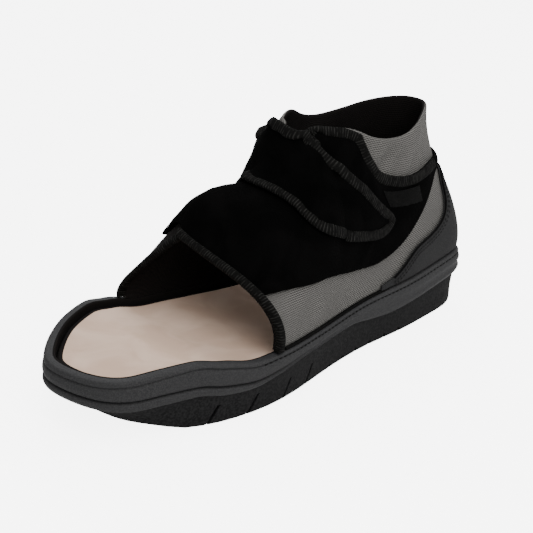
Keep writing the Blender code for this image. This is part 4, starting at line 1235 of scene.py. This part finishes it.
def labelLift(place, over):
    return layerGap(place, over) + panelThick + velourLook["puff"] + fitGap / 2


labelFit = acrossInstep, labelSpots, labelLift
sheetPiece("sideLabel", *labelFit, labelLook, plainTape, "binding", "side_label")
print("stage: front edges bound, label sewn on")


# Midsole: rings of the outline, shaped from the lower edge to the footbed
midsoleLook = {"steps": 260, "levels": 5}


def soleRing(angles, inset, height):
    y = outline(angles)[:, 1]
    plan = insetOutline(angles, inset(y) if callable(inset) else np.full(len(angles), inset))
    return np.column_stack([plan, height(plan[:, 1])])


def between(low, high, share):
    return lambda y: low(y) + (high(y) - low(y)) * share


def grooveHeight(y):
    return between(edgeHeight, rimHeight, sideAt(y, "groove"))(y)


def creaseHeight(y):
    return between(edgeHeight, rimHeight, sideAt(y, "crease"))(y)


def lifted(height, lift):
    return lambda y: height(y) + lift


def ribbedGroove(y):
    return shallowGroove + ribDepth * sideAt(y, "ribs")


def ringStack(name, rings, materials, band):
    # closes the first and the last ring across; band gives each level's material
    count = len(rings[0])
    faces = gridFaces(len(rings), count)
    slots = [band(k // count) for k in range(len(faces))]
    for base, level in ((0, 0), ((len(rings) - 1) * count, len(rings) - 2)):
        for k in range(count // 2):
            corners = [base + k, base + k + 1, base + (count - k - 1) % count, base + (count - k) % count]
            faces.append(tuple(dict.fromkeys(corners)))
            slots.append(band(level))
    made = newPiece(name, np.concatenate(rings), faces, materials, None, slots, crease=70)
    return made


def easedRings(angles, keys, levels):
    # fills in between the shaped rings so that edges and grooves are round
    shaped = np.stack([soleRing(angles, inset, height) for inset, height in keys])
    fine = np.linspace(0, len(keys) - 1, (len(keys) - 1) * levels + 1)
    flat = shaped.reshape(len(keys), -1)
    k = np.clip(fine.astype(int), 0, len(keys) - 2)
    t = (fine - k)[:, None]
    before = flat[np.maximum(k - 1, 0)]
    after = flat[np.minimum(k + 2, len(keys) - 1)]
    startPull = (flat[k + 1] - before) / 2 * 0.7
    endPull = (after - flat[k]) / 2 * 0.7
    curve = bridge(t, flat[k], flat[k + 1], startPull, endPull)
    return list(curve.reshape(len(fine), -1, 3))


def makeMidsole():
    angles = np.arange(midsoleLook["steps"]) * 2 * math.pi / midsoleLook["steps"]
    keys = [
        (soleLip + 0.004, edgeHeight),
        (soleLip, edgeHeight),
        (soleLip / 3, lifted(edgeHeight, ribEdge)),
        (0.0, between(edgeHeight, grooveHeight, 0.55)),
        (shallowGroove, lifted(grooveHeight, -ribEdge)),
        (ribbedGroove, grooveHeight),
        (shallowGroove, lifted(grooveHeight, ribEdge)),
        (0.0, between(grooveHeight, creaseHeight, 0.5)),
        (shallowGroove, lifted(creaseHeight, -ribEdge)),
        (creaseDepth, creaseHeight),
        (creaseDepth / 2, lifted(creaseHeight, ribEdge)),
        (rimWidth / 4, lifted(rimHeight, -ribEdge)),
        (rimWidth / 2, rimHeight),
        (rimWidth + wallThick * 0.6, rimHeight),
        (rimWidth + wallThick + fitGap, lifted(rimHeight, -0.0006)),
        (rimWidth + wallThick + 2 * fitGap, floorHeight),
        (rimWidth + wallThick + 0.004, floorHeight),
    ]
    rings = easedRings(angles, keys, midsoleLook["levels"])
    inner = 13 * midsoleLook["levels"]
    bands = [midsoleFoam, blackLining]
    cup = ringStack("midsoleCup", rings, bands, lambda level: int(level >= inner))
    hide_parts("midsole")


makeMidsole()


# Insole: tan top inside a black edge tape
insoleLook = {"steps": 200, "levels": 4, "tape": 0.0030}


def makeInsole():
    angles = np.arange(insoleLook["steps"]) * 2 * math.pi / insoleLook["steps"]
    edge = rimWidth + wallThick + 4 * fitGap
    keys = [
        (edge + roundOff, lifted(floorHeight, fitGap)),
        (edge, lifted(floorHeight, fitGap + roundOff)),
        (edge, lifted(footbedHeight, -roundOff)),
        (edge + roundOff, footbedHeight),
        (edge + insoleLook["tape"], footbedHeight),
        (edge + insoleLook["tape"] + 0.002, lifted(footbedHeight, -0.0002)),
        (edge + insoleCupWidth, lifted(footbedHeight, -insoleCup)),
    ]
    rings = easedRings(angles, keys, insoleLook["levels"])
    top = 4 * insoleLook["levels"]
    bands = [tanFootbed, blackLining]
    bed = ringStack("insoleBed", rings, bands, lambda level: int(level < top))
    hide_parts("insole")


makeInsole()


# Stitches that sink into the midsole's crease, from the heel to the ball
def creaseStitches(look):
    rows = []
    for side in (1, -1):
        angle = np.linspace(planAngle(look["from"]), planAngle(look["to"]), 900) * side
        line = soleRing(angle, creaseDepth - look["proud"], creaseHeight)
        length = runLength(line)
        at = np.arange(0, length[-1], look["pitch"])
        here = np.column_stack([np.interp(at, length, line[:, k]) for k in range(3)])
        turnAt = np.interp(at, length, angle)
        rows.append(squareTo(here, np.column_stack([outlineNormal(turnAt), 0 * at])))
    stitchRow("midsoleStitches", rows, look["length"], stitchThread)


creaseStitches({"from": 0.004, "to": 0.70, "proud": 0.0004, "pitch": 0.0036, "length": 0.0026})
frame["nodes"]["outsole"].data.materials.clear()
frame["nodes"]["outsole"].data.materials.append(soleRubber)
print("stage: sole shaped and stitched")
